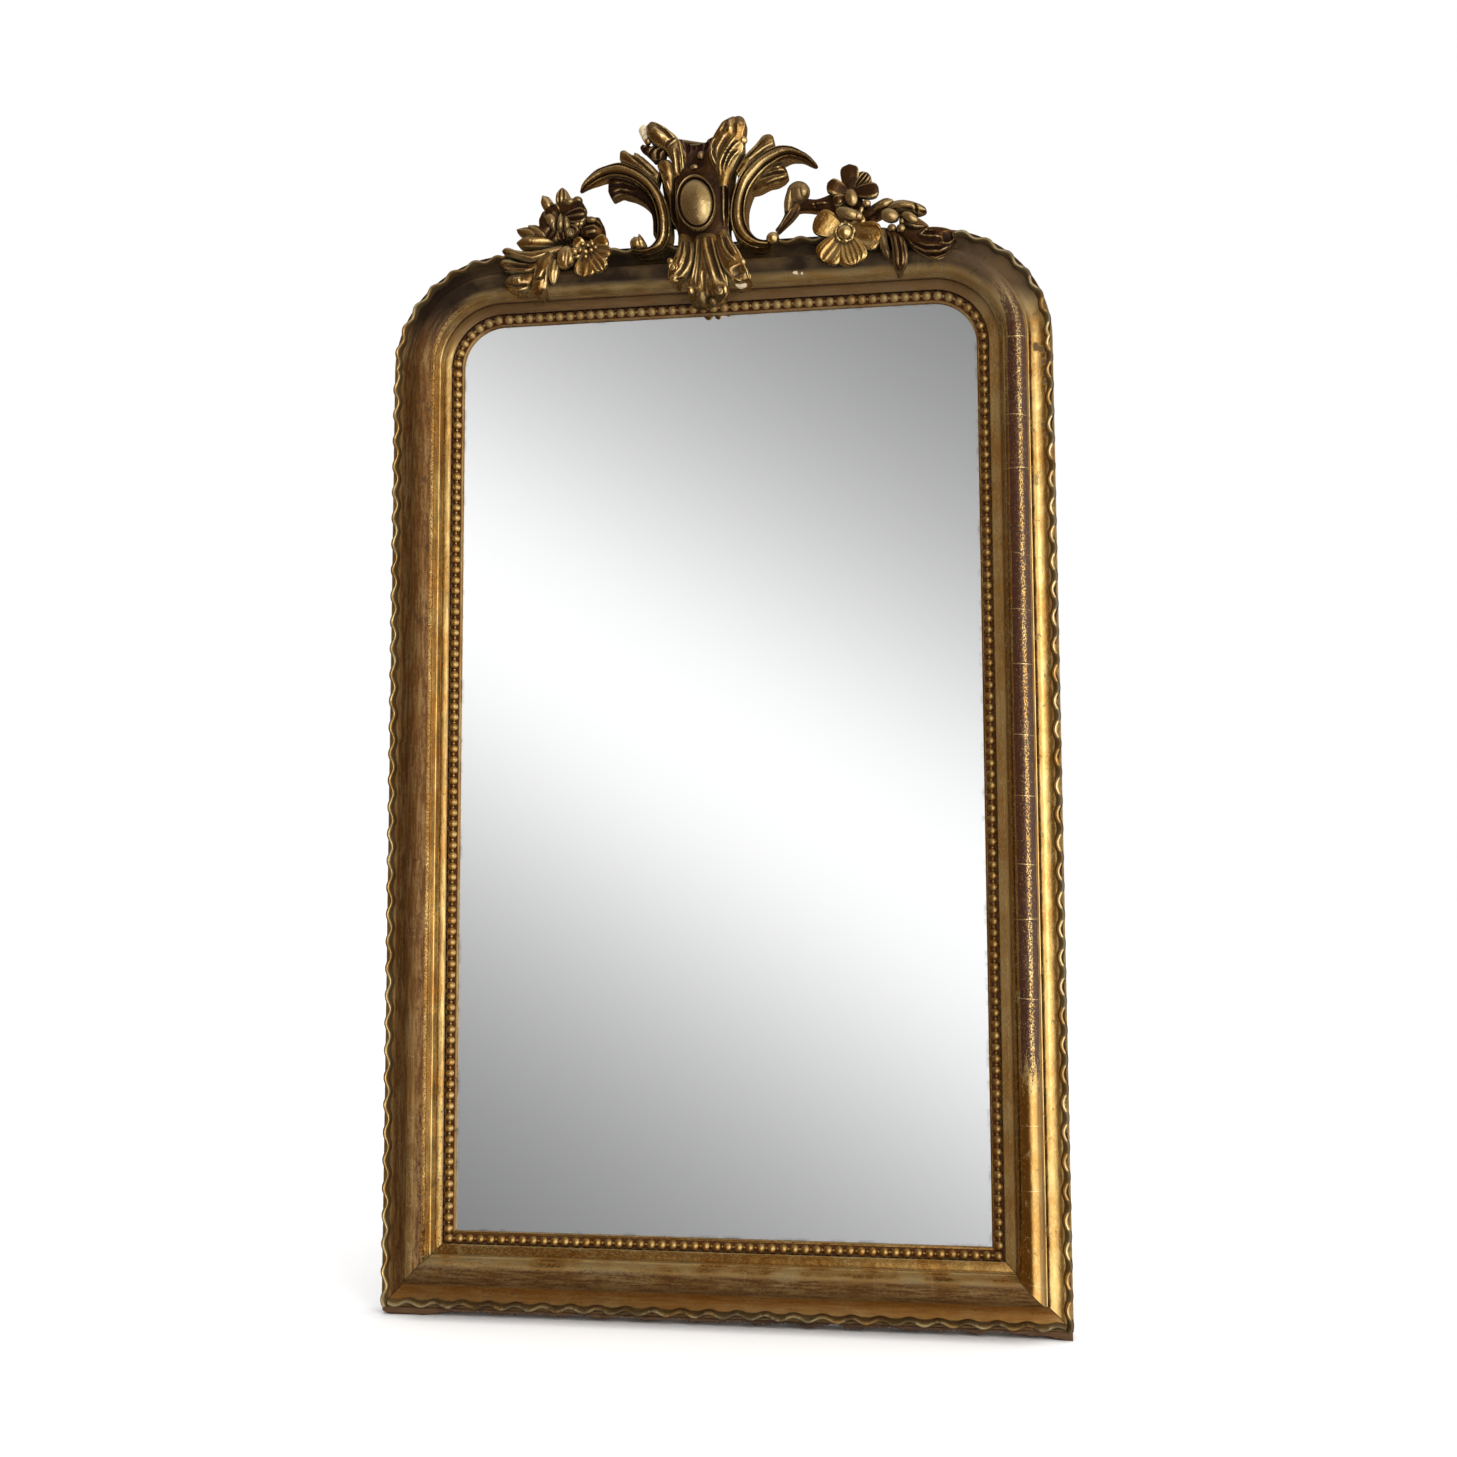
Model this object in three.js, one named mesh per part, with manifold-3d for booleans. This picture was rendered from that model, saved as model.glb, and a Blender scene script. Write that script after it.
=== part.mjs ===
// A gilt overmantel mirror in the French style of about 1860: a half-round moulding with two round
// top corners, a string of beads at the sight edge, a wavy ribbon at the outer edge, and a carved
// crest with flower sprays. Millimetres, +Z up. The front faces -Y and the base stands on z = 0.
// In sections, u runs outward from the sight edge and h forward from the front of the glass.

import * as THREE from 'three';
import { mergeVertices } from 'three/addons/utils/BufferGeometryUtils.js';
import Module from 'manifold-3d';

const wasm = await Module();
wasm.setup();

// ---- Driving dimensions ----
const SIGHT_WIDTH = 600;
const SIGHT_HEIGHT = 1047;
const SIGHT_RADIUS = 49; // the two top corners of the opening
const MOULDING_WIDTH = 84;
const BASE_STRIP_HEIGHT = 9;
const CARCASS_DEPTH = 22;
const BASE_DEPTH = 30;
const REBATE = 8; // the carcass starts this far outside the sight edge
const GLASS_LAP = 6; // the moulding covers this much of the glass
const GLASS_THICKNESS = 4;
const TORUS = { u: 41.7, h: 22.2, radius: 13.8 };
const BEAD = { u: 8, pitch: 12.3, radius: 4.7, height: 5.2, neck: 1.9 };
const RIBBON = { u: 79.8, wavelength: 31, swing: 1.5, foot: 3, crown: 1.7, height: 6.1 };
const CREST_X = -14; // the crest sits a little left of centre
const CREST_HEIGHT = 140;
const CREST_BACK = 2; // h of the crest's flat back
const CARTOUCHE_FRONT = 36; // h of the face that the cabochon sits on
const CABOCHON = { halfWidth: 23, halfHeight: 33, b: 35 };
const RING = { halfWidth: 13, drop: 21, wire: 1.4 };
const GAP = 0.3; // between pieces that touch
const ARC_STEPS = 9;

const QUARTER = Math.PI / 2;
const SIDES = [['left', -1], ['right', 1]];

// ---- Places worked out from them ----
const HALF_SIGHT = SIGHT_WIDTH / 2;
const SIGHT_BOTTOM = BASE_STRIP_HEIGHT + MOULDING_WIDTH;
const SIGHT_TOP = SIGHT_BOTTOM + SIGHT_HEIGHT;
const FRAME_TOP = SIGHT_TOP + MOULDING_WIDTH;
const SPRING_X = HALF_SIGHT - SIGHT_RADIUS; // centres of the corner arcs
const SPRING_Z = SIGHT_TOP - SIGHT_RADIUS;
const GLASS_Y = BASE_DEPTH / 2 - CARCASS_DEPTH; // y = 0 is at mid depth of the base
const BACK_H = -CARCASS_DEPTH;
const HALF_FRAME = HALF_SIGHT + MOULDING_WIDTH;
const REBATE_X = HALF_SIGHT + REBATE;
const REBATE_TOP = SIGHT_TOP + REBATE;
const REBATE_BOTTOM = SIGHT_BOTTOM - REBATE;
const CARCASS_EDGE = HALF_FRAME - 1;
const HANGER = { x: 345, z: 950, h: BACK_H - 4.8 };

const FINISHES = {
  gilt: { color: 0x9a7330, roughness: 0.42, metalness: 0.85 },
  gilt_crest: { color: 0x84622c, roughness: 0.4, metalness: 0.85 },
  bare_wood: { color: 0x7d6446, roughness: 0.85, metalness: 0 },
  base_wood: { color: 0xa89878, roughness: 0.9, metalness: 0 },
  silvered_glass: { color: 0xcfd2d3, roughness: 0.02, metalness: 1 },
  iron: { color: 0x4c4640, roughness: 0.55, metalness: 0.9 },
};

const mirror = new THREE.Group();

function addPiece(name, geometry, finish) {
  const mesh = new THREE.Mesh(geometry, new THREE.MeshStandardMaterial(FINISHES[finish]));
  mesh.name = name;
  mirror.add(mesh);
}

// ---- Solids, and joining or cutting them ----

function solid(geometry) {
  const bare = geometry.clone();
  bare.deleteAttribute('normal');
  bare.deleteAttribute('uv');
  const merged = mergeVertices(bare, 1e-3);
  return new wasm.Manifold(new wasm.Mesh({
    numProp: 3,
    vertProperties: new Float32Array(merged.attributes.position.array),
    triVerts: new Uint32Array(merged.index.array),
  }));
}

function geometryOf(manifold) {
  const mesh = manifold.getMesh();
  const geometry = new THREE.BufferGeometry();
  geometry.setAttribute('position', new THREE.BufferAttribute(new Float32Array(mesh.vertProperties), 3));
  geometry.setIndex(new THREE.BufferAttribute(new Uint32Array(mesh.triVerts), 1));
  geometry.computeVertexNormals();
  return geometry;
}

const join = (solids) => solids.reduce((whole, next) => whole.add(next));
const cut = (whole, tools) => tools.reduce((rest, tool) => rest.subtract(tool), whole);

// The largest body that is left after a cut, without loose crumbs.
function largestBody(manifold) {
  const bodies = manifold.decompose();
  bodies.sort((a, b) => b.volume() - a.volume());
  return bodies[0];
}

// A slightly larger copy of a compact solid, to cut its neighbours back by the gap.
function swollen(manifold, growth = GAP + 0.15) {
  const box = manifold.boundingBox();
  const middle = box.min.map((low, axis) => (low + box.max[axis]) / 2);
  const scale = box.min.map((low, axis) => 1 + (2 * growth) / (box.max[axis] - low));
  return manifold.translate(middle.map((m) => -m)).scale(scale).translate(middle);
}

// A closed body through rings of the same number of points, with flat ends. outline is the ring
// laid flat, which is what the end caps are divided on. A closed loop needs no caps.
function loft(rings, outline, closedLoop = false) {
  const count = rings[0].length;
  const positions = rings.flat().flatMap((point) => [point.x, point.y, point.z]);
  const faces = [];
  const lastRing = closedLoop ? rings.length : rings.length - 1;
  for (let i = 0; i < lastRing; i++) {
    const next = (i + 1) % rings.length;
    for (let j = 0; j < count; j++) {
      const k = (j + 1) % count;
      faces.push([i * count + j, i * count + k, next * count + k]);
      faces.push([i * count + j, next * count + k, next * count + j]);
    }
  }
  if (!closedLoop) {
    const flat = outline.map(([x, y]) => new THREE.Vector2(x, y));
    const turn = Math.sign(THREE.ShapeUtils.area(flat));
    for (const face of THREE.ShapeUtils.triangulateShape(flat, [])) {
      const same = Math.sign(THREE.ShapeUtils.area(face.map((i) => flat[i]))) === turn;
      const [a, b, c] = same ? face : [...face].reverse();
      const end = (rings.length - 1) * count;
      faces.push([c, b, a], [end + a, end + b, end + c]);
    }
  }
  const geometry = new THREE.BufferGeometry();
  geometry.setAttribute('position', new THREE.Float32BufferAttribute(positions, 3));
  const outward = signedVolume(positions, faces) > 0;
  geometry.setIndex(faces.flatMap(([a, b, c]) => (outward ? [a, b, c] : [c, b, a])));
  geometry.computeVertexNormals();
  return geometry;
}

function signedVolume(positions, faces) {
  const corner = (i) => new THREE.Vector3().fromArray(positions, 3 * i);
  return faces.reduce((sum, [a, b, c]) => sum + corner(a).dot(corner(b).cross(corner(c))), 0) / 6;
}

// A block between two corners given as x, h, z.
function block([x0, h0, z0], [x1, h1, z1]) {
  const geometry = new THREE.BoxGeometry(x1 - x0, h1 - h0, z1 - z0);
  return geometry.translate((x0 + x1) / 2, GLASS_Y - (h0 + h1) / 2, (z0 + z1) / 2);
}

// ---- The stretches of the frame: a distance out from the sight edge and a place along ----

const STRETCHES = {
  left_stile: {
    at: (u, s) => [-(HALF_SIGHT + u), s],
    start: (u) => SIGHT_BOTTOM - u + GAP / 2,
    end: () => SPRING_Z - GAP,
  },
  right_stile: {
    at: (u, s) => [HALF_SIGHT + u, s],
    start: (u) => SIGHT_BOTTOM - u + GAP / 2,
    end: () => SPRING_Z - GAP,
  },
  bottom_rail: {
    at: (u, s) => [s, SIGHT_BOTTOM - u],
    start: (u) => -(HALF_SIGHT + u) + GAP / 2,
    end: (u) => HALF_SIGHT + u - GAP / 2,
  },
  top_rail: {
    at: (u, s) => [s, SIGHT_TOP + u],
    start: () => -SPRING_X + GAP,
    end: () => SPRING_X - GAP,
  },
};

// The round corners run by angle, from the top rail down to the stile.
function cornerAt(side) {
  return (u, angle) => [
    side * (SPRING_X + (SIGHT_RADIUS + u) * Math.sin(angle)),
    SPRING_Z + (SIGHT_RADIUS + u) * Math.cos(angle),
  ];
}
const CORNERS = { left_corner: cornerAt(-1), right_corner: cornerAt(1) };

// One ring of a section on the frame. section is a list of [u, h].
function ringAt(at, section, place) {
  return section.map(([u, h]) => {
    const [x, z] = at(u, typeof place === 'function' ? place(u) : place);
    return new THREE.Vector3(x, GLASS_Y - h, z);
  });
}

function straightRun(section, { at, start, end }) {
  return loft([ringAt(at, section, start), ringAt(at, section, end)], section);
}

function cornerRun(section, at) {
  const rings = [];
  for (let i = 0; i <= ARC_STEPS; i++) rings.push(ringAt(at, section, (QUARTER * i) / ARC_STEPS));
  return loft(rings, section);
}

// ---- Mouldings ----

// Sight lip, bead channel, band, two fillets, torus, fillet, hollow and the ribbon's seat.
function mouldingSection() {
  const section = [[0, 0], [0, 2.6], [2.5, 3], [13.2, 3], [13.5, 6.5], [19, 7.8], [25, 8], [25.3, 13],
    [26.5, 13.3], [27, 17], [28, 17.6]];
  const torusSteps = 7;
  for (let i = 0; i <= torusSteps; i++) {
    const angle = Math.PI * (1 - i / torusSteps);
    section.push([TORUS.u + TORUS.radius * Math.cos(angle), TORUS.h + TORUS.radius * Math.sin(angle)]);
  }
  section.push([55.5, 16], [57, 16], [57, 14.5], [59.5, 10.6], [64, 7.9], [70, 7.1], [75.5, 7.6]);
  section.push([MOULDING_WIDTH, 7.6], [MOULDING_WIDTH, 0]);
  return section;
}

function addMouldings() {
  const section = mouldingSection();
  for (const [name, stretch] of Object.entries(STRETCHES)) {
    addPiece(`moulding_${name}`, straightRun(section, stretch), 'gilt');
  }
  for (const [name, at] of Object.entries(CORNERS)) {
    addPiece(`moulding_${name}`, cornerRun(section, at), 'gilt');
  }
}

// ---- Bead strings ----

// Half-round beads on one foot, as rings that swell at each bead and close in at each neck.
function beadString(at, from, to, lengthOf) {
  const count = Math.round(Math.abs(lengthOf(to - from)) / BEAD.pitch);
  const foot = 3 + GAP;
  const rings = [];
  const outlineAt = (size) => {
    const height = BEAD.height * (0.4 + 0.6 * size);
    const half = BEAD.neck + (BEAD.radius - BEAD.neck) * size;
    return [[BEAD.u - half, foot], [BEAD.u - 0.62 * half, foot + 0.86 * height],
      [BEAD.u + 0.62 * half, foot + 0.86 * height], [BEAD.u + half, foot]];
  };
  for (let i = 0; i <= 2 * count; i++) {
    rings.push(ringAt(at, outlineAt(i % 2), from + ((to - from) * i) / (2 * count)));
  }
  return loft(rings, outlineAt(0));
}

function addBeads() {
  const straight = (length) => length;
  const alongArc = (angle) => angle * (SIGHT_RADIUS + BEAD.u);
  const { left_stile, right_stile, top_rail, bottom_rail } = STRETCHES;
  const lowest = SIGHT_BOTTOM - BEAD.u + BEAD.radius + GAP;
  const reach = HALF_SIGHT + BEAD.u + BEAD.radius;
  addPiece('beads_left', beadString(left_stile.at, lowest, SPRING_Z - GAP, straight), 'gilt');
  addPiece('beads_right', beadString(right_stile.at, lowest, SPRING_Z - GAP, straight), 'gilt');
  addPiece('beads_bottom', beadString(bottom_rail.at, -reach, reach, straight), 'gilt');
  addPiece('beads_top', beadString(top_rail.at, -SPRING_X + GAP, SPRING_X - GAP, straight), 'gilt');
  addPiece('beads_left_corner', beadString(CORNERS.left_corner, 0, QUARTER, alongArc), 'gilt');
  addPiece('beads_right_corner', beadString(CORNERS.right_corner, 0, QUARTER, alongArc), 'gilt');
}

// ---- Wavy ribbon edge ----

function ribbonRun(at, from, to, lengthOf) {
  const waves = Math.round(Math.abs(lengthOf(to - from)) / RIBBON.wavelength);
  const foot = 7.6 + GAP;
  const stepsPerWave = 4;
  const outlineAt = (middle) => [[middle - RIBBON.foot, foot], [middle - RIBBON.crown, foot + RIBBON.height],
    [middle + RIBBON.crown, foot + RIBBON.height], [middle + RIBBON.foot, foot]];
  const rings = [];
  for (let i = 0; i <= waves * stepsPerWave; i++) {
    const middle = RIBBON.u + RIBBON.swing * Math.sin((2 * Math.PI * i) / stepsPerWave);
    rings.push(ringAt(at, outlineAt(middle), from + ((to - from) * i) / (waves * stepsPerWave)));
  }
  return loft(rings, outlineAt(RIBBON.u));
}

function addRibbons() {
  const straight = (length) => length;
  const alongArc = (angle) => angle * (SIGHT_RADIUS + RIBBON.u);
  const { left_stile, right_stile, top_rail, bottom_rail } = STRETCHES;
  const bottomReach = HALF_SIGHT + RIBBON.u - RIBBON.swing - RIBBON.foot - GAP;
  const sideFrom = SIGHT_BOTTOM - MOULDING_WIDTH + GAP;
  addPiece('ribbon_left', ribbonRun(left_stile.at, sideFrom, SPRING_Z - GAP, straight), 'gilt');
  addPiece('ribbon_right', ribbonRun(right_stile.at, sideFrom, SPRING_Z - GAP, straight), 'gilt');
  addPiece('ribbon_bottom', ribbonRun(bottom_rail.at, -bottomReach, bottomReach, straight), 'gilt');
  addPiece('ribbon_top', ribbonRun(top_rail.at, -SPRING_X + GAP, SPRING_X - GAP, straight), 'gilt');
  addPiece('ribbon_left_corner', ribbonRun(CORNERS.left_corner, 0, QUARTER, alongArc), 'gilt');
  addPiece('ribbon_right_corner', ribbonRun(CORNERS.right_corner, 0, QUARTER, alongArc), 'gilt');
}

// ---- Screws ----

// A round-headed screw driven forward from the back, its head seated at seatH.
const SCREW = { shank: 1.6, hole: 2.1, head: 3.6, headHeight: 1.4, sides: 6 };

function screwAt(x, z, seatH, length) {
  const profile = [[0, length], [SCREW.shank, length - 2], [SCREW.shank, -GAP], [SCREW.head, -GAP],
    [0.7 * SCREW.head, -GAP - SCREW.headHeight], [0, -GAP - SCREW.headHeight]];
  const points = profile.map(([radius, along]) => new THREE.Vector2(radius, along));
  const geometry = new THREE.LatheGeometry(points.reverse(), SCREW.sides);
  return geometry.rotateX(Math.PI).translate(x, GLASS_Y - seatH, z);
}

function screwHole(x, z, fromH, toH) {
  const hole = new THREE.CylinderGeometry(SCREW.hole, SCREW.hole, toH - fromH, SCREW.sides);
  return solid(hole.translate(x, GLASS_Y - (fromH + toH) / 2, z));
}

// ---- Carcass, base strip, glass and backing ----

const HANGER_SCREWS = [-29, -42]; // below the ring's hinge
const HANGER_SCREW_LENGTH = 14;
const BATTEN = { half: 10, foot: 1152, top: 1304, housing: 10, screwLow: 1190, screwHigh: 1280 };

function hangerHoles(side) {
  return HANGER_SCREWS.map((dz) => screwHole(side * HANGER.x, HANGER.z + dz, BACK_H - 3,
    BACK_H + HANGER_SCREW_LENGTH));
}

// A board of the carcass's thickness from z = foot up, with the two round top corners.
function archedBoard(foot) {
  const outerRadius = CARCASS_EDGE - SPRING_X;
  const outline = new THREE.Shape();
  outline.absarc(SPRING_X, SPRING_Z, outerRadius, 0, QUARTER);
  outline.absarc(-SPRING_X, SPRING_Z, outerRadius, QUARTER, Math.PI);
  outline.lineTo(-CARCASS_EDGE, foot);
  outline.lineTo(CARCASS_EDGE, foot);
  const depth = CARCASS_DEPTH - GAP;
  const board = new THREE.ExtrudeGeometry(outline, { depth, bevelEnabled: false, curveSegments: 8 });
  return solid(board.rotateX(QUARTER).translate(0, GLASS_Y - BACK_H, 0));
}

// Half-lapped at each end: the rails keep the front half of the thickness, the stiles the back half.
function addCarcass() {
  const front = -GAP;
  const lapH = BACK_H / 2;
  const foot = BASE_STRIP_HEIGHT + GAP;
  for (const [name, side] of SIDES) {
    const [x0, x1] = [side * REBATE_X, side * CARCASS_EDGE].sort((a, b) => a - b);
    const blank = solid(block([x0, BACK_H, foot], [x1, front, REBATE_TOP - GAP]));
    const stile = blank.intersect(archedBoard(foot));
    const laps = [[foot - 1, REBATE_BOTTOM + GAP], [SPRING_Z - GAP, REBATE_TOP + 1]].map(([low, high]) =>
      solid(block([x0 - 1, lapH - GAP / 2, low], [x1 + 1, front + 1, high])));
    addPiece(`carcass_${name}_stile`, geometryOf(cut(stile, [...laps, ...hangerHoles(side)])), 'bare_wood');
  }
  const endLaps = (low, high) => [-1, 1].map((side) => {
    const [x0, x1] = [side * (REBATE_X - GAP), side * (CARCASS_EDGE + 1)].sort((a, b) => a - b);
    return solid(block([x0, BACK_H - 1, low], [x1, lapH + GAP / 2, high]));
  });
  const bottom = solid(block([-CARCASS_EDGE, BACK_H, foot], [CARCASS_EDGE, front, REBATE_BOTTOM]));
  const lappedBottom = cut(bottom, endLaps(foot - 1, REBATE_BOTTOM + 1));
  addPiece('carcass_bottom_rail', geometryOf(lappedBottom), 'bare_wood');

  const opening = solid(block([-REBATE_X, BACK_H - 1, SPRING_Z - 1], [REBATE_X, front + 1, REBATE_TOP]));
  const housing = solid(block([CREST_X - BATTEN.half - GAP, BACK_H - 1, BATTEN.foot - GAP],
    [CREST_X + BATTEN.half + GAP, BACK_H + BATTEN.housing, FRAME_TOP + 1]));
  const tools = [opening, ...endLaps(SPRING_Z - 1, REBATE_TOP), housing,
    screwHole(CREST_X, BATTEN.screwLow, BACK_H, -2)];
  addPiece('carcass_top_rail', geometryOf(cut(archedBoard(SPRING_Z), tools)), 'bare_wood');
}

function addBaseStrip() {
  const [x, top, front] = [HALF_FRAME - 1, BASE_STRIP_HEIGHT - GAP, BASE_DEPTH + BACK_H];
  addPiece('base_strip', block([-x, BACK_H, 0], [x, front, top]), 'base_wood');
}

// A stepped cleat: its foot is housed in the top rail, its upper half fills out behind the crest.
function addCrestBatten() {
  const back = BACK_H + GAP;
  const foot = block([CREST_X - BATTEN.half, back, BATTEN.foot],
    [CREST_X + BATTEN.half, BACK_H + BATTEN.housing - GAP, FRAME_TOP + 1]);
  const upper = block([CREST_X - BATTEN.half, back, FRAME_TOP + 1], [CREST_X + BATTEN.half, CREST_BACK - GAP,
    BATTEN.top]);
  const holes = [BATTEN.screwLow, BATTEN.screwHigh].map((z) =>
    screwHole(CREST_X, z, BACK_H - 1, CREST_BACK));
  addPiece('crest_batten', geometryOf(cut(join([solid(foot), solid(upper)]), holes)), 'bare_wood');
  addPiece('crest_screw_lower', screwAt(CREST_X, BATTEN.screwLow, back, 17), 'iron');
  addPiece('crest_screw_upper', screwAt(CREST_X, BATTEN.screwHigh, back, 30), 'iron');
}

function addGlassAndBacking() {
  const [x, low, high] = [HALF_SIGHT + GLASS_LAP, SIGHT_BOTTOM - GLASS_LAP, SIGHT_TOP + GLASS_LAP];
  const glassBack = -GAP - GLASS_THICKNESS;
  addPiece('mirror_glass', block([-x, glassBack, low], [x, -GAP, high]), 'silvered_glass');

  const plank = { front: -12, back: -19.5, seam: 1.2, edge: REBATE_X - 0.8 };
  const third = (2 * plank.edge) / 3;
  ['left', 'middle', 'right'].forEach((name, i) => {
    const x0 = -plank.edge + i * third + plank.seam / 2;
    addPiece(`backboard_${name}`, block([x0, plank.back, REBATE_BOTTOM + 0.8],
      [x0 + third - plank.seam, plank.front, REBATE_TOP - 0.8]), 'bare_wood');
  });

  // Wedges glued in the rebate behind the glass, each with its square edge on the rebate wall.
  const wedge = { width: 12, height: 7, length: 60, offset: 300 };
  const middleZ = (SIGHT_BOTTOM + SIGHT_TOP) / 2;
  for (const [side, sign] of SIDES) {
    const corners = [[0, 0], [0, wedge.height], [-sign * wedge.width, 0]];
    const shape = new THREE.Shape(corners.map(([a, b]) => new THREE.Vector2(a, b)));
    for (const [level, offset] of [['upper', wedge.offset], ['lower', -wedge.offset]]) {
      const geometry = new THREE.ExtrudeGeometry(shape, { depth: wedge.length, bevelEnabled: false });
      geometry.translate(sign * (REBATE_X - GAP), GLASS_Y - glassBack + GAP,
        middleZ + offset - wedge.length / 2);
      addPiece(`glazing_wedge_${side}_${level}`, geometry, 'bare_wood');
    }
  }
}

// ---- Hangers ----

// The ring is one closed wire: a straight bar in the plate's barrel, and a round bow below it.
function ringGeometry(side) {
  const path = [];
  const cornerRadius = 4;
  const bowSteps = 8;
  const { halfWidth, drop, wire } = RING;
  path.push([-(halfWidth - cornerRadius), 0], [halfWidth - cornerRadius, 0], [halfWidth - 1.2, -1.2]);
  for (let i = 0; i <= bowSteps; i++) {
    const angle = (Math.PI * i) / bowSteps;
    path.push([halfWidth * Math.cos(angle), -(drop - halfWidth) - halfWidth * Math.sin(angle)]);
  }
  path.push([-(halfWidth - 1.2), -1.2]);
  const sides = 6;
  const rings = path.map(([a, b], i) => {
    const before = path[(i + path.length - 1) % path.length];
    const after = path[(i + 1) % path.length];
    const along = new THREE.Vector2(after[0] - before[0], after[1] - before[1]).normalize();
    return Array.from({ length: sides }, (_, j) => {
      const angle = (2 * Math.PI * (j + 0.5)) / sides;
      const out = wire * Math.cos(angle);
      return new THREE.Vector3(side * HANGER.x + a - along.y * out,
        GLASS_Y - HANGER.h + wire * Math.sin(angle), HANGER.z + b + along.x * out);
    });
  });
  return loft(rings, null, true);
}

function hangerPlate(side) {
  const x = side * HANGER.x;
  const plateFront = BACK_H - GAP;
  const plate = solid(block([x - 8, plateFront - 1.5, HANGER.z - 48], [x + 8, plateFront, HANGER.z - 1.5]));
  const neck = solid(block([x - 5, HANGER.h + 0.5, HANGER.z - 3], [x + 5, plateFront, HANGER.z + 2.5]));
  const along = (radius, length) => solid(new THREE.CylinderGeometry(radius, radius, length, 12)
    .rotateZ(QUARTER).translate(x, GLASS_Y - HANGER.h, HANGER.z));
  const barrel = along(3, 10);
  const bore = along(1.95, 12);
  return geometryOf(cut(join([plate, neck, barrel]), [bore, ...hangerHoles(side)]));
}

function addHangers() {
  for (const [name, side] of SIDES) {
    addPiece(`hanger_plate_${name}`, hangerPlate(side), 'iron');
    addPiece(`hanging_ring_${name}`, ringGeometry(side), 'iron');
    HANGER_SCREWS.forEach((dz, i) => addPiece(`hanger_screw_${name}_${['upper', 'lower'][i]}`,
      screwAt(side * HANGER.x, HANGER.z + dz, BACK_H - GAP - 1.5, HANGER_SCREW_LENGTH), 'iron'));
  }
}

// ---- Crest ----
// Its pieces are laid out in mm from the crest's foot: a to the right of CREST_X, b above the frame.

const crestX = (a) => CREST_X + a;
const crestZ = (b) => FRAME_TOP + b;

// A carved limb along a path of [a, b, width, front, back], round in front and flat behind. With a
// growth it is the room that the limb's neighbours are cut back from.
function limb(path, steps, growth = 0) {
  const curve = (pick) => new THREE.CatmullRomCurve3(path.map((point) => new THREE.Vector3(...pick(point))),
    false, 'centripetal');
  const middle = curve(([a, b]) => [a, b, 0]);
  const size = curve(([, , width, front, back]) => [width, front, back]);
  const section = [[-1, 0], [-0.88, 0.66], [0, 1], [0.88, 0.66], [1, 0]];
  const rings = [];
  for (let i = 0; i <= steps; i++) {
    const { x: a, y: b } = middle.getPoint(i / steps);
    const sizes = size.getPoint(i / steps);
    const [width, front, back] = [sizes.x + 2 * growth, sizes.y + growth, sizes.z - growth];
    const along = middle.getTangent(i / steps);
    rings.push(section.map(([across, forward]) => new THREE.Vector3(
      crestX(a - (along.y * across * width) / 2),
      GLASS_Y - (back + (front - back) * forward),
      crestZ(b + (along.x * across * width) / 2),
    )));
  }
  return solid(loft(rings, section));
}

// A flat carved body with softened edges.
function relief(outline, back, front, round) {
  const shape = new THREE.Shape(outline.map(([a, b]) => new THREE.Vector2(crestX(a), crestZ(b))));
  const geometry = new THREE.ExtrudeGeometry(shape, {
    depth: front - back - 2 * round,
    bevelThickness: round,
    bevelSize: round,
    bevelOffset: -round,
    bevelSegments: 2,
  });
  return solid(geometry.rotateX(QUARTER).translate(0, GLASS_Y - back - round, 0));
}

// A rounded knob, petal or boss: half sizes across, along and forward, turned in the plane of the front.
function pebble(a, b, h, [across, along, forward], turn = 0, sides = 7) {
  const geometry = new THREE.SphereGeometry(1, sides, sides - 2);
  geometry.scale(across, along, forward).rotateZ(turn).rotateX(QUARTER);
  return solid(geometry.translate(crestX(a), GLASS_Y - h, crestZ(b)));
}

// Open petals round a boss. petals is [angle in degrees, length, width].
function flower(a, b, h, petals, bossRadius, thickness) {
  const solids = petals.map(([degrees, length, width]) => {
    const angle = THREE.MathUtils.degToRad(degrees);
    const reach = length * 0.54;
    return pebble(a + reach * Math.cos(angle), b + reach * Math.sin(angle), h,
      [width / 2, length / 2, thickness], angle - QUARTER, 6);
  });
  solids.push(pebble(a, b, h - 1, [bossRadius * 1.5, bossRadius * 1.5, thickness + 2]));
  solids.push(pebble(a, b, h + thickness * 0.6, [bossRadius, bossRadius, bossRadius * 0.9]));
  return join(solids);
}

// What the crest must stay clear of: the top moulding and corners with their beads and ribbon.
function topOfFrame() {
  const clearance = GAP + 0.1;
  const section = mouldingSection();
  const grown = section.map(([u, h], i) => {
    const [u0, h0] = section[(i + section.length - 1) % section.length];
    const [u1, h1] = section[(i + 1) % section.length];
    const before = new THREE.Vector2(h0 - h, u - u0).normalize();
    const after = new THREE.Vector2(h - h1, u1 - u).normalize();
    const normal = before.add(after).normalize();
    return [u + normal.x * clearance * 1.2, h + normal.y * clearance * 1.2];
  });
  const beadRoom = [[-1, -1], [-1, 9], [13.4, 9], [13.4, -1]];
  const ribbonRoom = [[74.8, -1], [74.8, 14.5], [84.8, 14.5], [84.8, -1]];
  const across = { ...STRETCHES.top_rail, start: () => -SPRING_X - 1, end: () => SPRING_X + 1 };
  const parts = [];
  for (const outline of [grown, beadRoom, ribbonRoom]) {
    parts.push(solid(straightRun(outline, across)));
    for (const at of Object.values(CORNERS)) parts.push(solid(cornerRun(outline, at)));
  }
  return join(parts);
}

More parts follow.
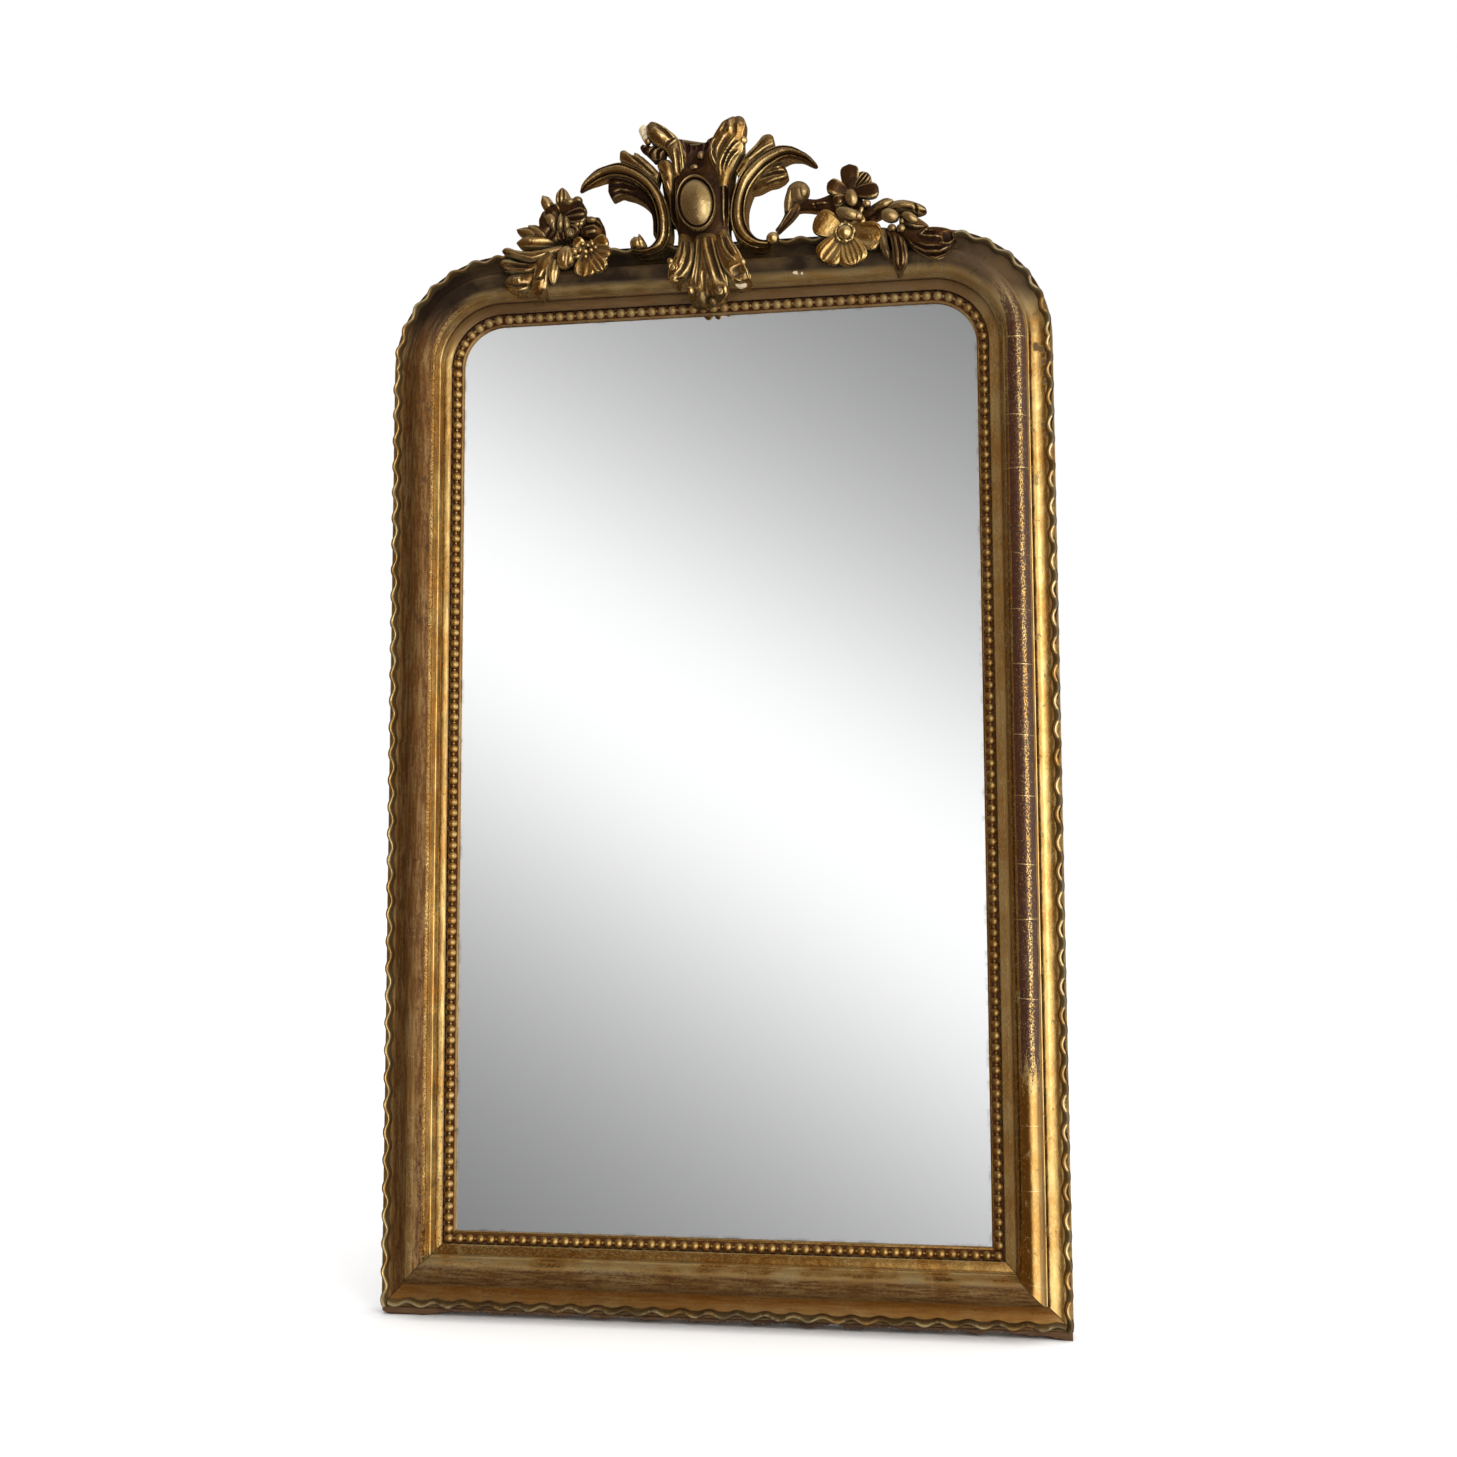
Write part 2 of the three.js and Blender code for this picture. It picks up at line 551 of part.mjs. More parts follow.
const SCROLLS = {
  left: {
    roll: [[-140, 61, 3, 30, 25], [-133, 74, 10, 32, 22], [-119, 83, 17, 34, 18], [-103, 88, 22, 36, 15],
      [-88, 86, 26, 37, 10], [-73, 75, 27, 38, 6], [-59, 57, 26, 38, 4], [-49, 38, 25, 38, 4],
      [-44, 18, 24, 38, 4], [-46, 2, 23, 38, 5], [-54, -9, 20, 36, 8], [-66, -14, 15, 34, 10],
      [-78, -12, 9, 30, 14]],
    tufts: [[[-70, 84, 20, 34, 10], [-80, 95, 18, 33, 10], [-88, 106, 8, 30, 16]],
      [[-78, 76, 20, 26, 8], [-93, 68, 18, 26, 8], [-101, 58, 9, 24, 10]]],
    knob: [-69, -2, 26, [8, 8, 9]],
  },
  right: {
    roll: [[138, 70, 3, 30, 25], [128, 82, 10, 32, 22], [116, 91, 16, 34, 18], [101, 94, 21, 36, 12],
      [85, 90, 25, 37, 6], [69, 79, 26, 38, 4], [56, 63, 26, 38, 4], [48, 44, 26, 38, 4],
      [46, 25, 25, 38, 4], [51, 8, 23, 38, 5], [61, -4, 20, 36, 8], [72, -11, 15, 34, 10],
      [80, -12, 10, 30, 14]],
    tufts: [[[58, 80, 20, 34, 10], [70, 95, 18, 33, 10], [81, 111, 9, 30, 16]],
      [[78, 80, 20, 26, 8], [92, 74, 20, 26, 8], [101, 65, 11, 24, 10]]],
    knob: [87, -7, 27, [8, 8, 9]],
  },
};

function scrollBody({ roll, tufts, knob: [a, b, h, sizes] }, growth = 0) {
  const knob = pebble(a, b, h, sizes.map((size) => size + growth));
  return join([limb(roll, 20, growth), ...tufts.map((tuft) => limb(tuft, 4, growth)), knob]);
}

function addScrolls(clearOf) {
  for (const [side, scroll] of Object.entries(SCROLLS)) {
    addPiece(`c_scroll_${side}`, geometryOf(largestBody(cut(scrollBody(scroll), clearOf))), 'gilt_crest');
  }
}

const UPPER_LEAVES = {
  left: [[[-6, 84, 28, 36, 10], [-18, 99, 36, 38, 10], [-36, 114, 34, 43, 12], [-50, 124, 28, 45, 18],
    [-61, 129, 16, 40, 24]],
  [[-34, 76, 16, 28, 8], [-45, 91, 20, 30, 8], [-56, 101, 18, 30, 10], [-65, 108, 9, 28, 14]]],
  right: [[[10, 84, 28, 36, 10], [21, 101, 34, 38, 10], [32, 116, 36, 43, 12], [42, 127, 32, 45, 18],
    [48, 133, 18, 40, 24]],
  [[30, 76, 14, 28, 8], [38, 91, 18, 30, 8], [47, 103, 18, 30, 10], [53, 109, 9, 28, 14]]],
};

function addUpperLeaves(clearOf) {
  for (const [side, [leaf, frill]] of Object.entries(UPPER_LEAVES)) {
    const middle = solid(block([CREST_X + (side === 'left' ? 3.2 : -100), -20, FRAME_TOP],
      [CREST_X + (side === 'left' ? 100 : 2.8), 80, FRAME_TOP + CREST_HEIGHT + 20]));
    const body = join([limb(leaf, 7), limb(frill, 5)]);
    addPiece(`upper_leaf_${side}`, geometryOf(largestBody(cut(body, [...clearOf, middle]))), 'gilt_crest');
  }
}

const ACANTHUS_LOBES = [
  [[4, 4, 40, 37, 2], [6, -18, 34, 43, 2], [8, -42, 30, 47, 2], [8, -60, 28, 39, 2], [8, -74, 24, 21, 2],
    [8, -82, 14, 14, 2]],
  [[-8, 4, 24, 37, 2], [-14, -18, 26, 43, 2], [-20, -38, 28, 47, 2], [-25, -52, 20, 45, 2]],
  [[24, 4, 22, 37, 2], [32, -18, 26, 43, 2], [42, -38, 28, 47, 2], [49, -55, 24, 44, 2]],
];

const SPRAYS = {
  left: {
    flowers: {
      left_open_flower: flower(-127, -13, 36, [[20, 27, 24], [90, 26, 24], [160, 24, 22], [232, 28, 25],
        [300, 29, 26]], 6, 6),
      left_rose: flower(-160, 31, 34, [[10, 22, 20], [70, 23, 20], [130, 23, 20], [190, 22, 20],
        [250, 20, 20], [310, 20, 20]], 9, 8),
      left_bud: pebble(-124, 16, 30, [12, 10, 9]),
      left_round_petal: pebble(-155, -26, 40, [10, 13, 8]),
    },
    leaves: [
      [[-150, 4, 18, 24, 8], [-176, 8, 18, 26, 10], [-200, 18, 18, 30, 16], [-214, 22, 8, 28, 20]],
      [[-150, 0, 18, 24, 4], [-180, 1, 18, 28, 4], [-204, 2, 18, 32, 12], [-214, 4, 8, 30, 18]],
      [[-150, -8, 20, 32, 4], [-180, -11, 18, 38, 4], [-210, -8, 18, 40, 4], [-230, -3, 9, 34, 10]],
      [[-165, -12, 18, 40, 4], [-195, -26, 16, 42, 4], [-220, -22, 16, 42, 4], [-234, -18, 8, 36, 4]],
      [[-170, -10, 18, 42, 4], [-182, -30, 20, 45, 4], [-186, -50, 18, 44, 4], [-185, -60, 10, 41, 4]],
      [[-166, -20, 14, 42, 4], [-168, -36, 12, 44, 4], [-168, -48, 9, 43, 4]],
      [[-190, -34, 18, 44, 4], [-208, -46, 22, 45, 4], [-224, -50, 12, 42, 4]],
      [[-150, 8, 22, 24, 8], [-176, 40, 15, 30, 16], [-182, 54, 10, 28, 20]],
      [[-146, 14, 24, 24, 8], [-158, 50, 16, 30, 16], [-158, 63, 11, 28, 20]],
      [[-146, 14, 24, 24, 8], [-146, 40, 18, 26, 12], [-144, 50, 12, 26, 14]],
      [[-144, 4, 30, 22, 6], [-124, 8, 26, 22, 6], [-112, 4, 14, 22, 8]],
    ],
  },
  right: {
    flowers: {
      right_open_flower: flower(169, -10, 36, [[-8, 32, 30], [62, 27, 26], [150, 33, 30], [218, 34, 30],
        [285, 35, 32]], 8, 6),
      right_upper_flower: flower(176, 39, 34, [[8, 29, 22], [62, 25, 18], [98, 28, 20], [155, 27, 20],
        [300, 26, 18]], 8, 7),
      right_bud: pebble(117, 45, 28, [13, 12, 10]),
    },
    leaves: [
      [[91, -3, 7, 27, 20], [99, 8, 8, 27, 18], [107, 20, 11, 27, 16], [113, 34, 16, 27, 14]],
      [[110, 26, 12, 26, 14], [124, 29, 14, 26, 14], [150, 30, 18, 26, 12], [180, 22, 20, 26, 8],
        [212, 6, 18, 28, 8]],
      [[200, 6, 18, 28, 8], [220, 20, 18, 36, 12], [236, 20, 16, 36, 16], [257, 12, 10, 32, 20]],
      [[200, 0, 20, 28, 4], [222, 6, 20, 38, 6], [244, -2, 16, 36, 10], [261, -9, 8, 30, 14]],
      [[196, -6, 22, 30, 4], [226, -16, 22, 38, 4], [254, -26, 26, 40, 4], [278, -28, 28, 38, 4],
        [294, -22, 16, 32, 4]],
      [[200, -4, 22, 34, 4], [213, -24, 22, 45, 4], [226, -42, 20, 47, 4], [230, -58, 12, 44, 4]],
      [[150, 6, 22, 22, 6], [180, 8, 26, 24, 6], [204, 2, 20, 26, 4]],
    ],
  },
};

function addSprays(frameRoom) {
  for (const [side, { flowers, leaves }] of Object.entries(SPRAYS)) {
    const blooms = [];
    for (const [name, bloom] of Object.entries(flowers)) {
      const seated = largestBody(cut(bloom, [frameRoom, ...blooms]));
      addPiece(name, geometryOf(seated), 'gilt_crest');
      blooms.push(swollen(bloom));
    }
    const foliage = join(leaves.map((leaf) => limb(leaf, 3)));
    const scrollRoom = scrollBody(SCROLLS[side], GAP + 0.15);
    const seated = largestBody(cut(foliage, [frameRoom, ...blooms, scrollRoom]));
    addPiece(`${side}_spray_leaves`, geometryOf(seated), 'gilt_crest');
  }
}

function addCrest() {
  const frame = topOfFrame();
  const cartoucheOutline = [[-24, 1], [-25, 12], [-31, 22], [-32, 42], [-31, 64], [-27, 80], [-20, 94],
    [-11, 103], [3, 107], [13, 102], [21, 90], [27, 76], [31, 60], [32, 41], [31, 24], [33, 10], [33, 1]];
  const cartouche = relief(cartoucheOutline, CREST_BACK, CARTOUCHE_FRONT, 5);
  const cartoucheRoom = swollen(cartouche);
  const cartoucheHole = screwHole(CREST_X, BATTEN.screwHigh, BACK_H, 12);
  addPiece('crest_cartouche', geometryOf(cut(cartouche, [cartoucheHole])), 'gilt_crest');

  const seat = CARTOUCHE_FRONT + GAP;
  const profile = [[0, seat], [1, seat], [1, 39.5], [0.94, 41.5], [0.86, 40], [0.62, 45.5], [0.34, 48.5],
    [0, 49.5]].map(([radius, h]) => new THREE.Vector2(radius, h));
  const cabochon = new THREE.LatheGeometry(profile, 16).rotateX(Math.PI);
  cabochon.scale(CABOCHON.halfWidth, 1, CABOCHON.halfHeight);
  cabochon.translate(CREST_X, GLASS_Y, crestZ(CABOCHON.b));
  addPiece('cabochon', cabochon, 'gilt_crest');

  const lobes = join(ACANTHUS_LOBES.map((lobe) => limb(lobe, 8)));
  const acanthus = largestBody(cut(lobes, [frame, cartoucheRoom, swollen(solid(cabochon))]));
  addPiece('acanthus_drop', geometryOf(acanthus), 'gilt_crest');
  addUpperLeaves([cartoucheRoom]);
  addScrolls([frame, cartoucheRoom]);
  addSprays(frame);
}

addMouldings();
addBeads();
addRibbons();
addCarcass();
addBaseStrip();
addCrestBatten();
addGlassAndBacking();
addHangers();
addCrest();

export default mirror;
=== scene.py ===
"""A gilt overmantel mirror in the French style of about 1860, carved and gilded.

Shapes are worked out in millimetres as (x, h, z): h runs forward from the front of the glass. Crest
pieces are laid out as (a, b): a to the right of the crest's middle, b above the top of the frame.
"""

import math

import bmesh
import bpy
import numpy as np
from mathutils import Matrix, Vector


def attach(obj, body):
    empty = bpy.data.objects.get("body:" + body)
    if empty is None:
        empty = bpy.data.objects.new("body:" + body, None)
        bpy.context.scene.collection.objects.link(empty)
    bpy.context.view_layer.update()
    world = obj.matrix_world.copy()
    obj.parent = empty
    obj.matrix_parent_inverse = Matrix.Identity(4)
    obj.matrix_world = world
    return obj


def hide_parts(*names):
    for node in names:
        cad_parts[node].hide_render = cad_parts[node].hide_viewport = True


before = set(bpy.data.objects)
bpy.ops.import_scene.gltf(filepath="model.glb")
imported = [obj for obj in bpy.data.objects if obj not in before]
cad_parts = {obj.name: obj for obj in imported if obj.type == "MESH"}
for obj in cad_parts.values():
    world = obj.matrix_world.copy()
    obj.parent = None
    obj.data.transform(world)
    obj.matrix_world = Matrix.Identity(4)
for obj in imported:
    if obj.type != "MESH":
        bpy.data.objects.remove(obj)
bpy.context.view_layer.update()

# ---- Sizes in mm, as in the frame ----
HALF_SIGHT = 300.0
SIGHT_BOTTOM, SIGHT_TOP, SIGHT_RADIUS = 93.0, 1140.0, 49.0
MOULDING_WIDTH = 84.0
FRAME_TOP = SIGHT_TOP + MOULDING_WIDTH
SPRING_X, SPRING_Z = HALF_SIGHT - SIGHT_RADIUS, SIGHT_TOP - SIGHT_RADIUS
GLASS_Y, BACK_H, BASE_FRONT_H = -7.0, -22.0, 8.0
BASE_TOP = 8.7
CREST_X = -14.0
TORUS_U, TORUS_H, TORUS_RADIUS = 41.7, 22.2, 13.8
BEAD_U, BEAD_PITCH = 7.6, 12.3
RIBBON_U, RIBBON_WAVE, RIBBON_SWING = 79.8, 31.0, 1.5
HANGER_X, HANGER_Z, HANGER_H = 345.0, 950.0, -26.8
EYE = (289.1, -1802.0, 503.2)
QUARTER = math.pi / 2

# ---- Camera, at the photograph's viewing angle ----
camera_data = bpy.data.cameras.new("camera")
camera_data.sensor_width, camera_data.lens = 36.0, 39.71
camera_data.clip_start, camera_data.clip_end = 0.05, 100.0
camera = bpy.data.objects.new("camera", camera_data)
right, up = Vector((0.98845, 0.15143, -0.00372)), Vector((0.01658, -0.08372, 0.99636))
forward = Vector((-0.15057, 0.98492, 0.08526))
rotation = Matrix((right, up, -forward)).transposed()
camera.matrix_world = Matrix.Translation([v / 1000 for v in EYE]) @ rotation.to_4x4()
bpy.context.scene.collection.objects.link(camera)
bpy.context.scene.camera = camera


# ---- Small tools for shapes ----
def ripple(points, length, seed):
    """A smooth wander between about -1 and 1, with features of the given length in mm."""
    draw = np.random.default_rng(seed)
    total = np.zeros(len(points))
    for _ in range(7):
        wave = draw.normal(size=3)
        wave *= 2 * math.pi / (length * draw.uniform(0.7, 1.6) * np.linalg.norm(wave))
        total += np.sin(points @ wave + draw.uniform(0, 2 * math.pi))
    return total / 3.2


def spline(points, samples):
    """A smooth curve through points of any number of values, at samples from 0 to 1."""
    points = np.asarray(points, float)
    reach = np.vstack([2 * points[0] - points[1], points, 2 * points[-1] - points[-2]])
    out = []
    for t in samples:
        place = t * (len(points) - 1)
        i = min(int(place), len(points) - 2)
        w = place - i
        p0, p1, p2, p3 = reach[i : i + 4]
        pairs = ((p0, p1), (p1, p2), (p2, p3))
        d0, d1, d2 = (max(1e-4, np.linalg.norm(q - p) ** 0.5) for p, q in pairs)
        t1 = ((p1 - p0) / d0 - (p2 - p0) / (d0 + d1) + (p2 - p1) / d1) * d1
        t2 = ((p2 - p1) / d1 - (p3 - p1) / (d1 + d2) + (p3 - p2) / d2) * d1
        bend, twist = -3 * p1 + 3 * p2 - 2 * t1 - t2, 2 * p1 - 2 * p2 + t1 + t2
        out.append(p1 + t1 * w + bend * w**2 + twist * w**3)
    return np.array(out)


def tube(rings, closed=False):
    """A closed body through rings of equal size, as an array of ring, point, (x, h, z)."""
    m, n, _ = rings.shape
    i, j = np.meshgrid(np.arange(m if closed else m - 1), np.arange(n), indexing="ij")
    k, following = (j + 1) % n, (i + 1) % m
    faces = np.stack([i * n + j, i * n + k, following * n + k, following * n + j], -1)
    faces = faces.reshape(-1, 4).tolist()
    if not closed:
        faces.append(list(range(n))[::-1])
        faces.append([(m - 1) * n + q for q in range(n)])
    return rings.reshape(-1, 3), faces


def ball(centre, sizes, turn, around, down):
    """An egg: half sizes across, along and forward, turned in the plane of the front."""
    polar = np.linspace(0.02, math.pi - 0.02, down)[:, None]
    azimuth = np.linspace(0, 2 * math.pi, around, endpoint=False)[None, :]
    across = sizes[0] * np.sin(polar) * np.cos(azimuth)
    out = sizes[2] * np.sin(polar) * np.sin(azimuth)
    along = sizes[1] * np.cos(polar) * np.ones_like(azimuth)
    c, s = math.cos(turn), math.sin(turn)
    rings = np.stack([across * c - along * s, out, across * s + along * c], -1)
    return tube(rings + np.array([centre[0], centre[2], centre[1]]))


def at_crest(part):
    """Moves a part laid out as (a, h, b) to its place."""
    points, faces = part
    return points + np.array([CREST_X, 0, FRAME_TOP]), faces


def relief_of(points, edges, gain, rounds=14):
    """The way from the smoothed surroundings of each point to the point, times the gain."""
    smooth = points.copy()
    count = np.bincount(edges.ravel(), minlength=len(points)).clip(1)[:, None]
    for _ in range(rounds):
        total = np.zeros_like(smooth)
        for axis in range(3):
            total[:, axis] = np.bincount(edges[:, 0], smooth[edges[:, 1], axis], len(points))
            total[:, axis] += np.bincount(edges[:, 1], smooth[edges[:, 0], axis], len(points))
        smooth = 0.4 * smooth + 0.6 * total / count
    return (points - smooth) * gain


def make_piece(name, parts, material, nodes=(), body="mirror", sharp=50, marks=None,
               rough=0.0, gain=0.9):
    """One object from several closed parts, with what its finish reads stored on its points."""
    points, faces, start = [], [], 0
    for part_points, part_faces in parts:
        points.append(np.asarray(part_points, float))
        faces += [[q + start for q in face] for face in part_faces]
        start += len(part_points)
    points = np.vstack(points)
    placed = np.column_stack([points[:, 0], GLASS_Y - points[:, 1], points[:, 2]])
    mesh = bpy.data.meshes.new(name)
    mesh.from_pydata((placed * 0.001).tolist(), [], faces)
    work = bmesh.new()
    work.from_mesh(mesh)
    bmesh.ops.recalc_face_normals(work, faces=work.faces)
    work.to_mesh(mesh)
    work.free()
    edges = np.zeros(2 * len(mesh.edges), int)
    mesh.edges.foreach_get("vertices", edges)
    edges = edges.reshape(-1, 2)
    normals = np.zeros(3 * len(placed))
    mesh.vertices.foreach_get("normal", normals)
    normals = normals.reshape(-1, 3)
    # 0.5 on plain ground and toward 1 on ridges.
    relief = 0.5 + (relief_of(placed, edges, gain) * normals).sum(1)
    if rough:
        wander = 0.7 * ripple(placed, 9, 3) + 0.3 * ripple(placed, 3.5, 4)
        placed = placed + normals * (rough * wander)[:, None]
        mesh.vertices.foreach_set("co", (placed * 0.001).astype(np.float32).ravel())
    values = {"relief": relief.clip(0, 1), **(marks or {})}
    for key, value in values.items():
        mark = mesh.attributes.new(key, "FLOAT", "POINT")
        mark.data.foreach_set("value", value.astype(np.float32))
    mesh.polygons.foreach_set("use_smooth", [True] * len(mesh.polygons))
    mesh.set_sharp_from_angle(angle=math.radians(sharp))
    mesh.materials.append(material)
    piece = bpy.data.objects.new(name, mesh)
    bpy.context.scene.collection.objects.link(piece)
    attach(piece, body)
    if nodes:
        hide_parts(*nodes)
    return piece


# ---- Materials ----
class Value:
    """What a shader node gives out. The usual signs between two of them make a further node."""

    def __init__(self, nodes, socket):
        self.nodes, self.socket = nodes, socket

    def __add__(self, other):
        return self.nodes.math("ADD", self, other)

    def __sub__(self, other):
        return self.nodes.math("SUBTRACT", self, other)

    def __rsub__(self, other):
        return self.nodes.math("SUBTRACT", other, self)

    def __mul__(self, other):
        return self.nodes.math("MULTIPLY", self, other)

    def __truediv__(self, other):
        return self.nodes.math("DIVIDE", self, other)

    def __abs__(self):
        return self.nodes.math("ABSOLUTE", self)


class Nodes:
    """A short way to write a tree of shader nodes."""

    def __init__(self, tree):
        self.tree = tree
        tree.nodes.clear()

    def node(self, kind, inputs=None, **settings):
        made = self.tree.nodes.new(kind)
        for key, value in settings.items():
            setattr(made, key, value)
        for key, value in (inputs or {}).items():
            if isinstance(value, Value):
                self.tree.links.new(value.socket, made.inputs[key])
            else:
                made.inputs[key].default_value = value
        return made

    def add(self, kind, inputs=None, output=0, **settings):
        return Value(self, self.node(kind, inputs, **settings).outputs[output])

    def parts(self, vector):
        sockets = self.node("ShaderNodeSeparateXYZ", {0: vector}).outputs
        return [Value(self, socket) for socket in sockets]

    def math(self, operation, a, b=0.0, clamp=False):
        return self.add("ShaderNodeMath", {0: a, 1: b}, operation=operation, use_clamp=clamp)

    def capped(self, a, b):
        """The sum of two values, kept between 0 and 1."""
        return self.math("ADD", a, b, True)

    def invert(self, value):
        return self.math("SUBTRACT", 1.0, value, True)

    def most(self, a, b):
        return self.math("MAXIMUM", a, b)

    def step(self, value, low, high, start=0.0, end=1.0):
        inputs = {0: value, 1: low, 2: high, 3: start, 4: end}
        return self.add("ShaderNodeMapRange", inputs, interpolation_type="SMOOTHSTEP")

    def band(self, value, low, full, still, high):
        """1 from full to still, and falling away to 0 at low and at high."""
        return self.step(value, low, full) * self.step(value, high, still)

    def blend(self, share, a, b, **settings):
        inputs = {0: share, 6: a, 7: b}
        return self.add("ShaderNodeMix", inputs, 2, data_type="RGBA", **settings)

    def mark(self, name):
        return self.add("ShaderNodeAttribute", output="Fac", attribute_name=name)

    def noise(self, vector, scale, detail=3.0, roughness=0.55, distortion=0.0):
        inputs = {"Vector": vector, "Scale": scale, "Detail": detail, "Roughness": roughness,
                  "Distortion": distortion}
        return self.add("ShaderNodeTexNoise", inputs, "Fac")

    def stretched(self, vector, sizes):
        return self.add("ShaderNodeMapping", {"Vector": vector, "Scale": sizes})

    def place(self):
        return self.add("ShaderNodeTexCoord", output="Object")

    def facing(self):
        return self.parts(self.add("ShaderNodeNewGeometry", output="Normal"))

    def bump(self, height, strength, distance, normal=None):
        inputs = {"Height": height, "Strength": strength, "Distance": distance}
        if normal is not None:
            inputs["Normal"] = normal
        return self.add("ShaderNodeBump", inputs)

    def finish(self, **inputs):
        inputs = {key.replace("_", " "): value for key, value in inputs.items()}
        shader = self.add("ShaderNodeBsdfPrincipled", inputs)
        self.node("ShaderNodeOutputMaterial", {"Surface": shader})


def new_material(name):
    material = bpy.data.materials.new(name)
    material.use_nodes = True
    return material, Nodes(material.node_tree)


def srgb(r, g, b):
    """A colour given as it looks on screen, from 0 to 255."""

    def linear(v):
        v /= 255
        return v / 12.92 if v <= 0.04045 else ((v + 0.055) / 1.055) ** 2.4

    return (linear(r), linear(g), linear(b), 1.0)


GOLD, GOLD_RED, GOLD_PALE = srgb(212, 183, 124), srgb(192, 150, 86), srgb(232, 212, 164)
BOLE, BOLE_PURPLE, OCHRE = srgb(66, 32, 18), srgb(60, 34, 25), srgb(118, 80, 36)
GRIME_AND_SHADE, DUST_AND_SHADE, TONE_AND_SHADE = srgb(28, 13, 6), srgb(30, 20, 12), srgb(84, 51, 18)
BED, GESSO = srgb(70, 32, 16), srgb(206, 190, 158)


def near(n, place, spots, soft):
    """1 close to any of the spots (x, y, z, radius), all in metres, with a ragged edge."""
    wander = n.add("ShaderNodeTexNoise", {"Vector": place, "Scale": 160}, output="Color")
    shift = n.add("ShaderNodeVectorMath", {0: wander, 3: 0.006}, operation="SCALE")
    place = n.add("ShaderNodeVectorMath", {0: place, 1: shift}, operation="ADD")
    found = None
    for x, y, z, radius in spots:
        centre = (x + 0.003, y + 0.003, z + 0.003)
        apart = n.add("ShaderNodeVectorMath", {0: place, 1: centre}, output="Value",
                      operation="DISTANCE")
        here = n.step(apart, radius * (1 + soft), radius * (1 - soft))
        found = here if found is None else n.most(found, here)
    return found


